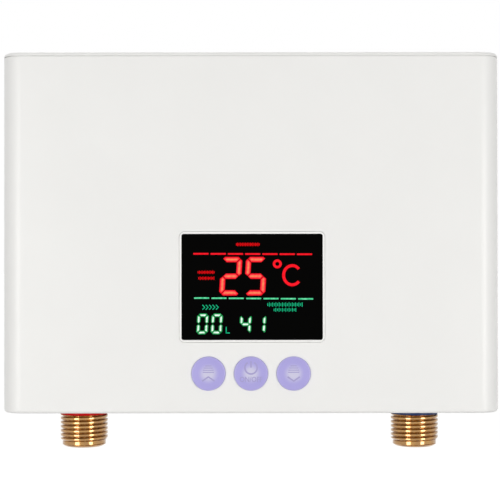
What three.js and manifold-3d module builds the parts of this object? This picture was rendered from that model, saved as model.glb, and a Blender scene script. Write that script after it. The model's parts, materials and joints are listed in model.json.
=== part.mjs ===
// Tankless water heater: a shallow wall case with a front display and three buttons,
// two threaded water connections underneath, and the tank, flow sensor and boards inside.
// Millimetres, +Z up. The front faces -Y, the wall is the plane y = 0, and the origin is
// the middle of the rear wall face.
import * as THREE from 'three';
import { mergeVertices } from 'three/addons/utils/BufferGeometryUtils.js';
import Module from 'manifold-3d';

// Clearances and cutting
const FIT_GAP = 0.3;
const OVERRUN = 4;
const MERGE_DISTANCE = 0.0001;

// Case
const CASE_WIDTH = 212;
const CASE_HEIGHT = 153.5;
const CASE_DEPTH = 60;
const CASE_EDGE_RADIUS = 9;
const CASE_REAR_RADIUS = 2;
const CASE_FILLET = 1.5;
const CASE_WALL = 2.5;
const REAR_WALL = 3;
const SEAL_THICKNESS = 0.8;
const SEAL_INSET = 0.5;
const RIM_HEIGHT = 4;
const RIM_WALL = 1.6;
const CASE_SCREW_INSET = 9.8;
const BOSS_RADIUS = 4.2;

// Screws
const CASE_SCREW_RADIUS = 1.9;
const CASE_SCREW_HEAD_RADIUS = 3.8;
const CASE_SCREW_HEAD_HEIGHT = 1.9;
const CASE_SCREW_LENGTH = 18;
const CASE_SCREW_SINK = 0.4;
const SMALL_SCREW_RADIUS = 1.3;
const SMALL_HEAD_RADIUS = 2.6;
const SMALL_HEAD_HEIGHT = 1.8;
const SMALL_SCREW_LENGTH = 7;
const RECESS_WIDTH = 0.7;
const RECESS_DEPTH = 0.9;

// Keyholes in the rear plate, which hang on two wall screws
const KEYHOLE_SIDE_ROOM = 44;
const KEYHOLE_TOP_ROOM = 25.75;
const KEYHOLE_HEAD_RADIUS = 5;
const KEYHOLE_SLOT_WIDTH = 5;
const KEYHOLE_RISE = 9;
const KEYHOLE_PAD_ROOM = 2.5;
const KEYHOLE_PAD_HEIGHT = 0.8;

// Window and lens
const LENS_WIDTH = 61.7;
const LENS_HEIGHT = 46.8;
const LENS_RADIUS = 2.2;
const LENS_THICKNESS = 1.5;
const LENS_GAP = 0.25;
const LENS_LEDGE = 2;
const SCREEN_X = 0.5;
const SCREEN_RISE = 36.7;

// Buttons
const BUTTON_RADIUS = 7.25;
const BUTTON_PITCH = 18.05;
const BUTTON_LOW_ROOM = 16.95;
const BUTTON_PROUD = 0.8;
const BUTTON_DOME = 0.5;
const BUTTON_EDGE = 0.4;
const BUTTON_GAP = 0.3;
const BUTTON_FLANGE = 1.2;
const BUTTON_FLANGE_THICKNESS = 1;
const BUTTON_STEM_RADIUS = 2.5;
const BUTTON_STROKE = 0.8;

// Display board and what stands on it
const BOARD_THICKNESS = 1.6;
const DISPLAY_BOARD_SETBACK = 12;
const DISPLAY_BOARD_WIDTH = 80;
const DISPLAY_BOARD_HEIGHT = 70;
const DISPLAY_BOARD_RISE = 27.8;
const DISPLAY_BOSS_RADIUS = 3.5;
const DISPLAY_BOSS_INSET = 4;
const LOCATING_PIN_RADIUS = 1.2;
const LOCATING_PIN_HEIGHT = 1.4;
const LED_WIDTH = 52;
const LED_HEIGHT = 38;
const LED_DEPTH = 8.8;
const LED_FRAME = 1.6;
const LED_POCKET = 1;
const SWITCH_SIZE = 6.2;
const SWITCH_HEIGHT = 4.3;
const PLUNGER_RADIUS = 1.75;
const PLUNGER_SEAT = 1.6;
const PLUNGER_PROUD = 2;

// Control board and what stands on it
const CONTROL_BOARD_WIDTH = 100;
const CONTROL_TOP_ROOM = 1.4;
const CONTROL_LOW_ROOM = 8.5;
const STANDOFF_HEIGHT = 8;
const STANDOFF_RADIUS = 3.5;
const STANDOFF_INSET = 5;
const RELAY_SIZE = [20, 16, 16];
const RELAY_X = -28;
const RELAY_RISE = 16;
const TRANSFORMER_SIZE = [28, 20, 26];
const TRANSFORMER_X = 24;
const TRANSFORMER_RISE = 18;
const TRANSFORMER_CORE = 4;
const PART_CHAMFER = 1;
const TERMINAL_BLOCK_SIZE = [40, 16, 13];
const TERMINAL_ROOM_SHARE = 0.48;
const TERMINAL_COUNT = 3;
const TERMINAL_WELL_RADIUS = 2.6;
const TERMINAL_WELL_DEPTH = 6;
const TERMINAL_ENTRY = 6;

// Supply cable entry
const CABLE_LOW_ROOM = 17.75;
const GROMMET_RADIUS = 6.5;
const GROMMET_FLANGE = 1.8;
const GROMMET_LIP = 1.1;
const GROMMET_ROOM_SHARE = 0.164;
const GROMMET_BORE_RADIUS = 4.5;

// Water connections, G 1/2 outside thread
const INLET_SIDE_ROOM = 33.5;
const OUTLET_SIDE_ROOM = 31.9;
const CONNECTOR_LENGTH = 17.15;
const THREAD_RADIUS = 10.4775;
const THREAD_DEPTH = 1.162;
const THREAD_PITCH = 1.814;
const THREAD_CHAMFER = 1.2;
const THREAD_ROWS_A_TURN = 4;
const CONNECTOR_BORE_RADIUS = 7;
const NECK_RADIUS = 9.2;
const SLOT_GAP = 0.6;
const RING_HEIGHT = 3;
const RING_RADIUS = 10.6;
const HEX_ACROSS_FLATS = 24;
const BACKNUT_HEIGHT = 3.2;
const BRACKET_THICKNESS = 2;
const HEX_HEIGHT = 5;
const TAIL_HEIGHT = 12;
const BRACKET_FRONT = 14;
const BRACKET_END = 15;
const BRACKET_TAB_HEIGHT = 12;
const BRACKET_TAB_REACH = 23;
const BRACKET_BRIDGE = 10;
const FILTER_LENGTH = 12;
const FILTER_WALL = 0.6;
const FILTER_INSET = 2;

// Flow sensor
const SENSOR_RADIUS = 10.5;
const SENSOR_HEIGHT = 26;
const SENSOR_CHAMBER_RADIUS = 7.4;
const SENSOR_CHAMBER_HEIGHT = 16;
const SENSOR_FLOOR = 5;
const SPIGOT_LENGTH = 6;
const SPIDER_WIDTH = 2;
const SPIDER_THICKNESS = 2;
const ROTOR_HUB_RADIUS = 2.8;
const ROTOR_HEIGHT = 8;
const ROTOR_BLADES = 5;
const ROTOR_BLADE_THICKNESS = 0.9;
const ROTOR_GAP = 0.7;
const SHAFT_RADIUS = 1;
const HALL_SIZE = [10, 3, 12];

// Pipes
const PIPE_RADIUS = 6;
const PIPE_BORE_RADIUS = 4.7;
const SOCKET_WALL = 1.5;
const SOCKET_DEPTH = 8;
const COLLAR_HEIGHT = 3;
const PROBE_BOSS_RADIUS = 4.5;
const PROBE_BOSS_REACH = 11;
const PROBE_RADIUS = 2.2;
const PROBE_HEAD_RADIUS = 4;
const PROBE_HEAD_HEIGHT = 5;
const PROBE_DROP = 22;

// Heater tank
const TANK_FRONT_ROOM = 7.5;
const TANK_BACK_ROOM = 7;
const TANK_END_ROOM = 17.5;
const TANK_WALL = 1.5;
const CAP_FLANGE = 2;
const CAP_THICKNESS = 3;
const CAP_PLUG = 5;
const ELEMENT_RADIUS = 3.2;
const ELEMENT_BEND_RADIUS = 8;
const ELEMENT_TIP_ROOM = 24.8;
const ELEMENT_STUB = 6;
const STRAP_PORT_ROOM = 27.5;
const STRAP_TOP_ROOM = 1.45;
const STRAP_WIDTH = 10;
const STRAP_THICKNESS = 1.5;
const STRAP_FOOT = 9;
const CRADLE_SETBACK = 15;
const CUTOUT_RADIUS = 8;
const CUTOUT_HEIGHT = 7;
const RESET_PIN_RADIUS = 1.4;
const RESET_PIN_PROUD = 1.2;
const RESET_PIN_STROKE = 1.5;

// Triac and its water-cooled block
const SINK_WIDTH = 22;
const SINK_DEPTH = 22;
const SINK_LOW_ROOM = 4.15;
const SINK_TOP_ROOM = 1;
const SINK_GROOVE = 2;
const TRIAC_SIZE = [15.5, 5, 20];
const LEG_SIZE = [1.4, 0.7, 9];
const LEG_PITCH = 5.4;

// Wires
const WIRE_RADIUS = 1.2;
const EARTH_WIRE_RADIUS = 1.1;
const RIBBON_WIDTH = 14;
const RIBBON_THICKNESS = 1;
const LIVE_ENTRY_SETBACK = 6.6;
const LIVE_STRAIGHT = 1.9;

// Roundness, in sides or steps
const THREAD_SIDES = 20;
const ROUND_SIDES = 24;
const BAR_SIDES = 16;
const SCREW_SIDES = 8;
const WIRE_SIDES = 6;
const WIRE_STEPS = 20;
const CORNER_STEPS = 5;

// Places worked out from the sizes above
const FRONT_Y = -CASE_DEPTH;
const INNER_FRONT_Y = FRONT_Y + CASE_WALL;
const COVER_BACK_Y = -REAR_WALL - SEAL_THICKNESS;
const HALF_WIDTH = CASE_WIDTH / 2;
const HALF_HEIGHT = CASE_HEIGHT / 2;
const INNER_BOTTOM_Z = -HALF_HEIGHT + CASE_WALL;
const TANK_RADIUS = (-INNER_FRONT_Y - TANK_FRONT_ROOM - REAR_WALL - TANK_BACK_ROOM) / 2;
const TANK_END_X = HALF_WIDTH - CASE_WALL - TANK_END_ROOM;
const STRAP_LEG = TANK_RADIUS + FIT_GAP + STRAP_THICKNESS;
const STRAP_REACH = STRAP_LEG + STRAP_FOOT;
const TANK_Z = HALF_HEIGHT - CASE_WALL - STRAP_TOP_ROOM - STRAP_REACH;
const PIPE_Y = -REAR_WALL - TANK_BACK_ROOM - TANK_RADIUS;
const INLET_X = HALF_WIDTH - INLET_SIDE_ROOM;
const OUTLET_X = OUTLET_SIDE_ROOM - HALF_WIDTH;
const KEYHOLE_X = HALF_WIDTH - KEYHOLE_SIDE_ROOM;
const KEYHOLE_HEAD_Z = HALF_HEIGHT - KEYHOLE_TOP_ROOM;
const BUTTON_Z = BUTTON_LOW_ROOM - HALF_HEIGHT;
const SCREEN_Z = BUTTON_Z + SCREEN_RISE;
const DISPLAY_BOARD_Z = BUTTON_Z + DISPLAY_BOARD_RISE;
const BRACKET_TAB_LEFT_X = OUTLET_X + BRACKET_TAB_REACH;
const BRACKET_TAB_RIGHT_X = INLET_X - BRACKET_TAB_REACH;
const GROMMET_LIP_RADIUS = GROMMET_RADIUS + GROMMET_FLANGE;
const ENTRY_WIDTH = TERMINAL_BLOCK_SIZE[0] + 2 * GROMMET_LIP_RADIUS;
const ENTRY_ROOM = BRACKET_TAB_RIGHT_X - BRACKET_TAB_LEFT_X - ENTRY_WIDTH;
const TERMINAL_LEFT_X = BRACKET_TAB_LEFT_X + ENTRY_ROOM * TERMINAL_ROOM_SHARE;
const TERMINAL_X = TERMINAL_LEFT_X + TERMINAL_BLOCK_SIZE[0] / 2;
const GROMMET_X = BRACKET_TAB_RIGHT_X - ENTRY_ROOM * GROMMET_ROOM_SHARE - GROMMET_LIP_RADIUS;
const CABLE_Z = CABLE_LOW_ROOM - HALF_HEIGHT;
const TERMINAL_TOP_Z = CABLE_Z + TERMINAL_BLOCK_SIZE[2] / 2;
const HOOK_Z = TANK_Z - STRAP_REACH - FIT_GAP;
const CONTROL_BOARD_TOP_Z = HOOK_Z - STRAP_THICKNESS - CONTROL_TOP_ROOM;
const CONTROL_BOARD_LOW_Z = TERMINAL_TOP_Z + CONTROL_LOW_ROOM;
const BOARD_FRONT_Y = FRONT_Y + DISPLAY_BOARD_SETBACK;
const BOARD_BACK_Y = BOARD_FRONT_Y + BOARD_THICKNESS;
const CONTROL_BACK_Y = -REAR_WALL - STANDOFF_HEIGHT;
const CONTROL_FRONT_Y = CONTROL_BACK_Y - BOARD_THICKNESS;
const BACKNUT_Z = INNER_BOTTOM_Z + FIT_GAP * 2;
const BRACKET_Z = BACKNUT_Z + BACKNUT_HEIGHT;
const HEX_Z = BRACKET_Z + BRACKET_THICKNESS;
const TAIL_TOP_Z = HEX_Z + HEX_HEIGHT + TAIL_HEIGHT;
const MOUTH_Z = -HALF_HEIGHT - CONNECTOR_LENGTH;
const RING_BOTTOM_Z = -HALF_HEIGHT - RING_HEIGHT;
const SENSOR_TOP_Z = TAIL_TOP_Z + SENSOR_HEIGHT;
const PORT_BOTTOM_Z = TANK_Z - TANK_RADIUS - SOCKET_DEPTH;
const PROBE_Z = PORT_BOTTOM_Z - PROBE_DROP;
const SINK_LOW_Z = SENSOR_TOP_Z + SOCKET_DEPTH + FIT_GAP + 2 * SOCKET_WALL + SINK_LOW_ROOM;
const SINK_TOP_Z = PORT_BOTTOM_Z - 2 * SOCKET_WALL - SINK_TOP_ROOM;
const SINK_FRONT_Y = PIPE_Y - SINK_DEPTH / 2;
const PROBE_FACE_Y = PIPE_Y - PROBE_BOSS_REACH;
const RESET_PIN_SEAT = 2 * RESET_PIN_STROKE;

const wasm = await Module();
wasm.setup();

// Solids and booleans

function solidOf(geometry) {
  const bare = geometry.clone();
  bare.deleteAttribute('normal');
  bare.deleteAttribute('uv');
  const merged = mergeVertices(bare, MERGE_DISTANCE);
  const corners = merged.index.array;
  const kept = [];
  for (let i = 0; i < corners.length; i += 3) {
    const [a, b, c] = corners.slice(i, i + 3);
    if (a !== b && b !== c && c !== a) {
      kept.push(a, b, c);
    }
  }
  const mesh = new wasm.Mesh({
    numProp: 3,
    vertProperties: merged.attributes.position.array,
    triVerts: new Uint32Array(kept),
  });
  return new wasm.Manifold(mesh);
}

function geometryOf(solid) {
  const mesh = solid.getMesh();
  const geometry = new THREE.BufferGeometry();
  geometry.setAttribute('position', new THREE.BufferAttribute(mesh.vertProperties, 3));
  geometry.setIndex(new THREE.BufferAttribute(mesh.triVerts, 1));
  return geometry;
}

function cut(base, ...tools) {
  const left = tools.reduce((solid, tool) => solid.subtract(solidOf(tool)), solidOf(base));
  return geometryOf(left);
}

function join(base, ...others) {
  const whole = others.reduce((solid, other) => solid.add(solidOf(other)), solidOf(base));
  return geometryOf(whole);
}

function common(base, other) {
  return geometryOf(solidOf(base).intersect(solidOf(other)));
}

// Turns every face round if the solid came out with its faces pointing in.
function facingOut(geometry) {
  const flat = geometry.index ? geometry.toNonIndexed() : geometry;
  const at = flat.attributes.position;
  const corners = [new THREE.Vector3(), new THREE.Vector3(), new THREE.Vector3()];
  let volume = 0;
  for (let i = 0; i < at.count; i += 3) {
    corners.forEach((corner, k) => corner.fromBufferAttribute(at, i + k));
    volume += corners[0].dot(corners[1].clone().cross(corners[2]));
  }
  if (volume >= 0) {
    return flat;
  }
  for (let i = 0; i < at.count; i += 3) {
    corners.forEach((corner, k) => corner.fromBufferAttribute(at, i + k));
    at.setXYZ(i + 1, ...corners[2].toArray());
    at.setXYZ(i + 2, ...corners[1].toArray());
  }
  return flat;
}

// Basic solids

// A box between two opposite corners, each [x, y, z].
function block(low, high) {
  const size = high.map((value, i) => value - low[i]);
  const middle = high.map((value, i) => (value + low[i]) / 2);
  return new THREE.BoxGeometry(...size).translate(...middle);
}

// Round bars along one axis, from one place on it to another.
function barX(radius, from, to, y, z, sides = BAR_SIDES) {
  const bar = new THREE.CylinderGeometry(radius, radius, to - from, sides);
  return bar.rotateZ(-Math.PI / 2).translate((from + to) / 2, y, z);
}

function barY(radius, from, to, x, z, sides = BAR_SIDES) {
  const bar = new THREE.CylinderGeometry(radius, radius, to - from, sides);
  return bar.translate(x, (from + to) / 2, z);
}

function barZ(radius, from, to, x, y, sides = BAR_SIDES) {
  const bar = new THREE.CylinderGeometry(radius, radius, to - from, sides);
  return bar.rotateX(Math.PI / 2).translate(x, y, (from + to) / 2);
}

// Solids turned from an outline of [radius, height] points that starts and ends on the axis.
function turnedY(outline, x, z, sides = BAR_SIDES) {
  const points = outline.map(([radius, height]) => new THREE.Vector2(radius, height));
  return facingOut(new THREE.LatheGeometry(points, sides).translate(x, 0, z));
}

function turnedX(outline, y, z, sides = BAR_SIDES) {
  const points = outline.map(([radius, height]) => new THREE.Vector2(radius, height));
  return facingOut(new THREE.LatheGeometry(points, sides).rotateZ(-Math.PI / 2).translate(0, y, z));
}

// A hollow body turned about Z from a closed outline of [radius, height] points.
// carve may draw the radius in at each height and angle, as a screw thread does.
function turnedRing(outline, x, y, sides = ROUND_SIDES, carve = (radius) => radius) {
  const positions = [];
  const index = [];
  outline.forEach(([radius, height], row) => {
    const nextRow = (row + 1) % outline.length;
    for (let side = 0; side < sides; side += 1) {
      const nextSide = (side + 1) % sides;
      const angle = (2 * Math.PI * side) / sides;
      const reach = carve(radius, height, angle);
      positions.push(x + reach * Math.cos(angle), y + reach * Math.sin(angle), height);
      const corner = [row * sides + side, row * sides + nextSide];
      const below = [nextRow * sides + side, nextRow * sides + nextSide];
      index.push(corner[0], corner[1], below[1], corner[0], below[1], below[0]);
    }
  });
  const geometry = new THREE.BufferGeometry();
  geometry.setAttribute('position', new THREE.Float32BufferAttribute(positions, 3));
  geometry.setIndex(index);
  return facingOut(geometry);
}

// A rectangle with round corners, centred on (x, y) of its plane.
function roundedRect(width, height, radius, x = 0, y = 0) {
  const right = x + width / 2 - radius;
  const left = x - width / 2 + radius;
  const top = y + height / 2 - radius;
  const bottom = y - height / 2 + radius;
  const shape = new THREE.Shape();
  shape.absarc(right, top, radius, 0, Math.PI / 2);
  shape.absarc(left, top, radius, Math.PI / 2, Math.PI);
  shape.absarc(left, bottom, radius, Math.PI, 1.5 * Math.PI);
  shape.absarc(right, bottom, radius, 1.5 * Math.PI, 2 * Math.PI);
  shape.closePath();
  return shape;
}

function outlineShape(points) {
  return new THREE.Shape(points.map(([u, v]) => new THREE.Vector2(u, v)));
}

// Plates cut from a flat shape: its plane is named first, then where it starts and ends.
function plateXZ(shape, fromY, toY) {
  const settings = { depth: toY - fromY, bevelEnabled: false, curveSegments: CORNER_STEPS };
  return new THREE.ExtrudeGeometry(shape, settings).rotateX(Math.PI / 2).translate(0, toY, 0);
}

function plateXY(shape, fromZ, toZ) {
  const settings = { depth: toZ - fromZ, bevelEnabled: false, curveSegments: CORNER_STEPS };
  return new THREE.ExtrudeGeometry(shape, settings).translate(0, 0, fromZ);
}

function plateYZ(shape, fromX, toX) {
  const settings = { depth: toX - fromX, bevelEnabled: false, curveSegments: CORNER_STEPS };
  const turn = new THREE.Matrix4().makeBasis(
    new THREE.Vector3(0, 1, 0),
    new THREE.Vector3(0, 0, 1),
    new THREE.Vector3(1, 0, 0),
  );
  return new THREE.ExtrudeGeometry(shape, settings).applyMatrix4(turn).translate(fromX, 0, 0);
}

// A section swept along a smooth curve through hand-picked points.
function swept(section, points, steps = WIRE_STEPS) {
  const path = new THREE.CatmullRomCurve3(points.map((point) => new THREE.Vector3(...point)));
  const settings = { steps, extrudePath: path, bevelEnabled: false };
  return facingOut(new THREE.ExtrudeGeometry(section, settings));
}

function roundSection(radius, sides = WIRE_SIDES) {
  const points = [];
  for (let side = 0; side < sides; side += 1) {
    const angle = (2 * Math.PI * side) / sides;
    points.push([radius * Math.cos(angle), radius * Math.sin(angle)]);
  }
  return outlineShape(points);
}

function hexPrism(acrossFlats, fromZ, toZ, x, y) {
  return barZ(acrossFlats / Math.sqrt(3), fromZ, toZ, x, y, 6);
}

// Screws, with their shank along Y. toward is 1 or -1, the way the shank points.

function crossRecess(headY, toward, headRadius, x, z) {
  const half = RECESS_WIDTH / 2;
  const reach = headRadius * 0.6;
  const floor = headY + toward * RECESS_DEPTH;
  const open = headY - toward * OVERRUN;
  const low = Math.min(floor, open);
  const high = Math.max(floor, open);
  return join(
    block([x - half, low, z - reach], [x + half, high, z + reach]),
    block([x - reach, low, z - half], [x + reach, high, z + half]),
  );
}

function smallScrew(seatY, toward, x, z) {
  const headY = seatY - toward * SMALL_HEAD_HEIGHT;
  const round = SMALL_HEAD_HEIGHT / 2;
  const tipY = seatY + toward * SMALL_SCREW_LENGTH;
  const outline = [
    [0, headY],
    [SMALL_HEAD_RADIUS - round, headY],
    [SMALL_HEAD_RADIUS, headY + toward * round],
    [SMALL_HEAD_RADIUS, seatY],
    [SMALL_SCREW_RADIUS, seatY],
    [SMALL_SCREW_RADIUS, tipY - toward * SMALL_SCREW_RADIUS],
    [0, tipY],
  ];
  return cut(
    turnedY(outline, x, z, SCREW_SIDES),
    crossRecess(headY, toward, SMALL_HEAD_RADIUS, x, z),
  );
}

// The hole for a small screw, open at the seat and a little deeper than the screw.
function smallScrewHole(seatY, toward, x, z) {
  const deep = seatY + toward * (SMALL_SCREW_LENGTH + FIT_GAP);
  const open = seatY - toward * OVERRUN;
  const radius = SMALL_SCREW_RADIUS + FIT_GAP;
  return barY(radius, Math.min(deep, open), Math.max(deep, open), x, z, SCREW_SIDES);
}

function caseScrew(x, z) {
  const headY = -CASE_SCREW_SINK;
  const neckY = headY - CASE_SCREW_HEAD_HEIGHT;
  const tipY = headY - CASE_SCREW_LENGTH;
  const outline = [
    [0, headY],
    [CASE_SCREW_HEAD_RADIUS, headY],
    [CASE_SCREW_RADIUS, neckY],
    [CASE_SCREW_RADIUS, tipY + CASE_SCREW_RADIUS],
    [0, tipY],
  ];
  return cut(
    turnedY(outline, x, z, SCREW_SIDES),
    crossRecess(headY, -1, CASE_SCREW_HEAD_RADIUS, x, z),
  );
}

function caseScrewHole(x, z) {
  const headRadius = CASE_SCREW_HEAD_RADIUS + FIT_GAP;
  const radius = CASE_SCREW_RADIUS + FIT_GAP;
  const headY = -CASE_SCREW_SINK;
  const outline = [
    [0, OVERRUN],
    [headRadius, OVERRUN],
    [headRadius, headY],
    [radius, headY - CASE_SCREW_HEAD_HEIGHT],
    [radius, headY - CASE_SCREW_LENGTH - FIT_GAP],
    [0, headY - CASE_SCREW_LENGTH - FIT_GAP],
  ];
  return turnedY(outline, x, z, SCREW_SIDES);
}

const CASE_SCREW_PLACES = [];
for (const side of [-1, 1]) {
  for (const level of [-1, 1]) {
    CASE_SCREW_PLACES.push([
      side * (HALF_WIDTH - CASE_SCREW_INSET),
      level * (HALF_HEIGHT - CASE_SCREW_INSET),
    ]);
  }
}

// Case

// The case in plan: large radii at the two front edges, small ones at the wall.
function casePlan(inset, backY) {
  const side = HALF_WIDTH - inset;
  const front = FRONT_Y + inset;
  const radius = CASE_EDGE_RADIUS - inset;
  const shape = new THREE.Shape();
  shape.absarc(side - radius, front + radius, radius, -Math.PI / 2, 0);
  shape.absarc(side - CASE_REAR_RADIUS, backY - CASE_REAR_RADIUS, CASE_REAR_RADIUS, 0, Math.PI / 2);
  shape.absarc(CASE_REAR_RADIUS - side, backY - CASE_REAR_RADIUS, CASE_REAR_RADIUS, Math.PI / 2, Math.PI);
  shape.absarc(radius - side, front + radius, radius, Math.PI, 1.5 * Math.PI);
  shape.closePath();
  return shape;
}

function wholeCase() {
  const settings = {
    depth: CASE_HEIGHT - 2 * CASE_FILLET,
    curveSegments: CORNER_STEPS,
    bevelThickness: CASE_FILLET,
    bevelSize: CASE_FILLET,
    bevelOffset: -CASE_FILLET,
    bevelSegments: 3,
  };
  const body = new THREE.ExtrudeGeometry(casePlan(0, 0), settings);
  return body.translate(0, 0, CASE_FILLET - HALF_HEIGHT);
}

// Everything of the case between two depths.
function caseSlice(fromY, toY) {
  const reach = [HALF_WIDTH + OVERRUN, HALF_HEIGHT + OVERRUN];
  return common(wholeCase(), block([-reach[0], fromY, -reach[1]], [reach[0], toY, reach[1]]));
}

// A flat ring that follows the case's outline between two insets from it.
function caseRing(outerInset, innerInset, fromY, toY) {
  const outer = [HALF_WIDTH - outerInset, HALF_HEIGHT - outerInset];
  const inner = [HALF_WIDTH - innerInset, HALF_HEIGHT - innerInset];
  return cut(
    block([-outer[0], fromY, -outer[1]], [outer[0], toY, outer[1]]),
    block([-inner[0], fromY - OVERRUN, -inner[1]], [inner[0], toY + OVERRUN, inner[1]]),
  );
}

const BUTTON_PLACES = { up: -BUTTON_PITCH, power: 0, down: BUTTON_PITCH };
const DISPLAY_BOSS_X = DISPLAY_BOARD_WIDTH / 2 - DISPLAY_BOSS_INSET;
const DISPLAY_BOSS_TOP_Z = DISPLAY_BOARD_Z + DISPLAY_BOARD_HEIGHT / 2 - DISPLAY_BOSS_INSET;
const DISPLAY_BOSS_LOW_Z = DISPLAY_BOARD_Z - DISPLAY_BOARD_HEIGHT / 2 + DISPLAY_BOSS_INSET;
const DISPLAY_SCREW_PLACES = [
  [-DISPLAY_BOSS_X, DISPLAY_BOSS_TOP_Z],
  [DISPLAY_BOSS_X, DISPLAY_BOSS_LOW_Z],
];
const DISPLAY_PIN_PLACES = [
  [DISPLAY_BOSS_X, DISPLAY_BOSS_TOP_Z],
  [-DISPLAY_BOSS_X, DISPLAY_BOSS_LOW_Z],
];

// The slot in the bottom wall that lets the cover slide forward off a connector.
function connectorSlot(x) {
  const reach = NECK_RADIUS + SLOT_GAP;
  const low = -HALF_HEIGHT - OVERRUN;
  const high = INNER_BOTTOM_Z + OVERRUN / 2;
  return join(
    barZ(reach, low, high, x, PIPE_Y, ROUND_SIDES),
    block([x - reach, PIPE_Y, low], [x + reach, OVERRUN, high]),
  );
}

function makeFrontCover() {
  const shell = cut(
    caseSlice(FRONT_Y - OVERRUN, COVER_BACK_Y),
    plateXY(casePlan(CASE_WALL, OVERRUN), INNER_BOTTOM_Z, -INNER_BOTTOM_Z),
  );
  const bosses = CASE_SCREW_PLACES.map(([x, z]) =>
    barY(BOSS_RADIUS, INNER_FRONT_Y - FIT_GAP, -REAR_WALL - FIT_GAP, x, z),
  );
  const boardPlaces = [...DISPLAY_SCREW_PLACES, ...DISPLAY_PIN_PLACES];
  const boardBosses = boardPlaces.map(([x, z]) =>
    barY(DISPLAY_BOSS_RADIUS, INNER_FRONT_Y - FIT_GAP, BOARD_FRONT_Y, x, z),
  );
  const pins = DISPLAY_PIN_PLACES.map(([x, z]) =>
    barY(LOCATING_PIN_RADIUS, INNER_FRONT_Y, BOARD_FRONT_Y + LOCATING_PIN_HEIGHT, x, z, SCREW_SIDES),
  );
  const pocket = [LENS_WIDTH + 2 * LENS_GAP, LENS_HEIGHT + 2 * LENS_GAP, LENS_RADIUS + LENS_GAP];
  const lensCut = plateXZ(
    roundedRect(...pocket, SCREEN_X, SCREEN_Z),
    FRONT_Y - OVERRUN,
    FRONT_Y + LENS_THICKNESS,
  );
  const sight = [LENS_WIDTH - 2 * LENS_LEDGE, LENS_HEIGHT - 2 * LENS_LEDGE];
  const windowCut = plateXZ(
    roundedRect(...sight, LENS_RADIUS, SCREEN_X, SCREEN_Z),
    FRONT_Y - OVERRUN,
    INNER_FRONT_Y + OVERRUN,
  );
  const buttonHoles = Object.values(BUTTON_PLACES).map((x) =>
    barY(BUTTON_RADIUS + BUTTON_GAP, FRONT_Y - OVERRUN, INNER_FRONT_Y + OVERRUN, x, BUTTON_Z, ROUND_SIDES),
  );
  const screwHoles = CASE_SCREW_PLACES.map(([x, z]) => caseScrewHole(x, z));
  const boardHoles = DISPLAY_SCREW_PLACES.map(([x, z]) => smallScrewHole(BOARD_BACK_Y, -1, x, z));
  const slots = [INLET_X, OUTLET_X].map(connectorSlot);
  return cut(
    join(shell, ...bosses, ...boardBosses, ...pins),
    lensCut,
    windowCut,
    ...buttonHoles,
    ...screwHoles,
    ...boardHoles,
    ...slots,
  );
}

function makeLens() {
  return plateXZ(
    roundedRect(LENS_WIDTH, LENS_HEIGHT, LENS_RADIUS, SCREEN_X, SCREEN_Z),
    FRONT_Y,
    FRONT_Y + LENS_THICKNESS,
  );
}

// The tongue that closes the cover's slot behind a connector, on a shelf from the plate.
function connectorTongue(x) {
  const half = NECK_RADIUS + SLOT_GAP - FIT_GAP;
  const shelfFront = PIPE_Y / 2;
  const shelfZ = INNER_BOTTOM_Z + FIT_GAP;
  const shelfTop = shelfZ + CASE_WALL / 2;
  const tongue = join(
    block([x - half, PIPE_Y, -HALF_HEIGHT], [x + half, COVER_BACK_Y, INNER_BOTTOM_Z]),
    block([x - half, shelfFront, -HALF_HEIGHT], [x + half, COVER_BACK_Y, shelfTop]),
    block([x - half, shelfFront, shelfZ], [x + half, -REAR_WALL, shelfTop]),
  );
  return cut(
    tongue,
    barZ(NECK_RADIUS + SLOT_GAP, -HALF_HEIGHT - OVERRUN, shelfTop + OVERRUN, x, PIPE_Y, ROUND_SIDES),
  );
}

function keyhole(x) {
  const half = KEYHOLE_SLOT_WIDTH / 2;
  const top = KEYHOLE_HEAD_Z + KEYHOLE_RISE;
  const from = -REAR_WALL - OVERRUN;
  return join(
    barY(KEYHOLE_HEAD_RADIUS, from, OVERRUN, x, KEYHOLE_HEAD_Z),
    block([x - half, from, KEYHOLE_HEAD_Z], [x + half, OVERRUN, top]),
    barY(half, from, OVERRUN, x, top),
  );
}

// The raised pad inside the plate that a wall screw's head bears on.
function keyholePad(x) {
  const reach = KEYHOLE_HEAD_RADIUS + KEYHOLE_PAD_ROOM;
  const top = KEYHOLE_HEAD_Z + KEYHOLE_RISE + KEYHOLE_SLOT_WIDTH / 2 + KEYHOLE_PAD_ROOM;
  return block(
    [x - reach, -REAR_WALL - KEYHOLE_PAD_HEIGHT, KEYHOLE_HEAD_Z - reach],
    [x + reach, -REAR_WALL, top],
  );
}

const STANDOFF_X = CONTROL_BOARD_WIDTH / 2 - STANDOFF_INSET;
const STANDOFF_TOP_Z = CONTROL_BOARD_TOP_Z - STANDOFF_INSET;
const STANDOFF_LOW_Z = CONTROL_BOARD_LOW_Z + STANDOFF_INSET;
const CONTROL_SCREW_PLACES = [
  [-STANDOFF_X, STANDOFF_TOP_Z],
  [STANDOFF_X, STANDOFF_LOW_Z],
];
const CONTROL_PIN_PLACES = [
  [STANDOFF_X, STANDOFF_TOP_Z],
  [-STANDOFF_X, STANDOFF_LOW_Z],
];
const STRAP_X = INLET_X - STRAP_PORT_ROOM;
const STRAP_PLACES = { left: -STRAP_X, right: STRAP_X };
const STRAP_FOOT_Y = -CRADLE_SETBACK - STRAP_THICKNESS;
const STRAP_SCREW_Z = TANK_Z + STRAP_LEG + STRAP_FOOT / 2;

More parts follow.
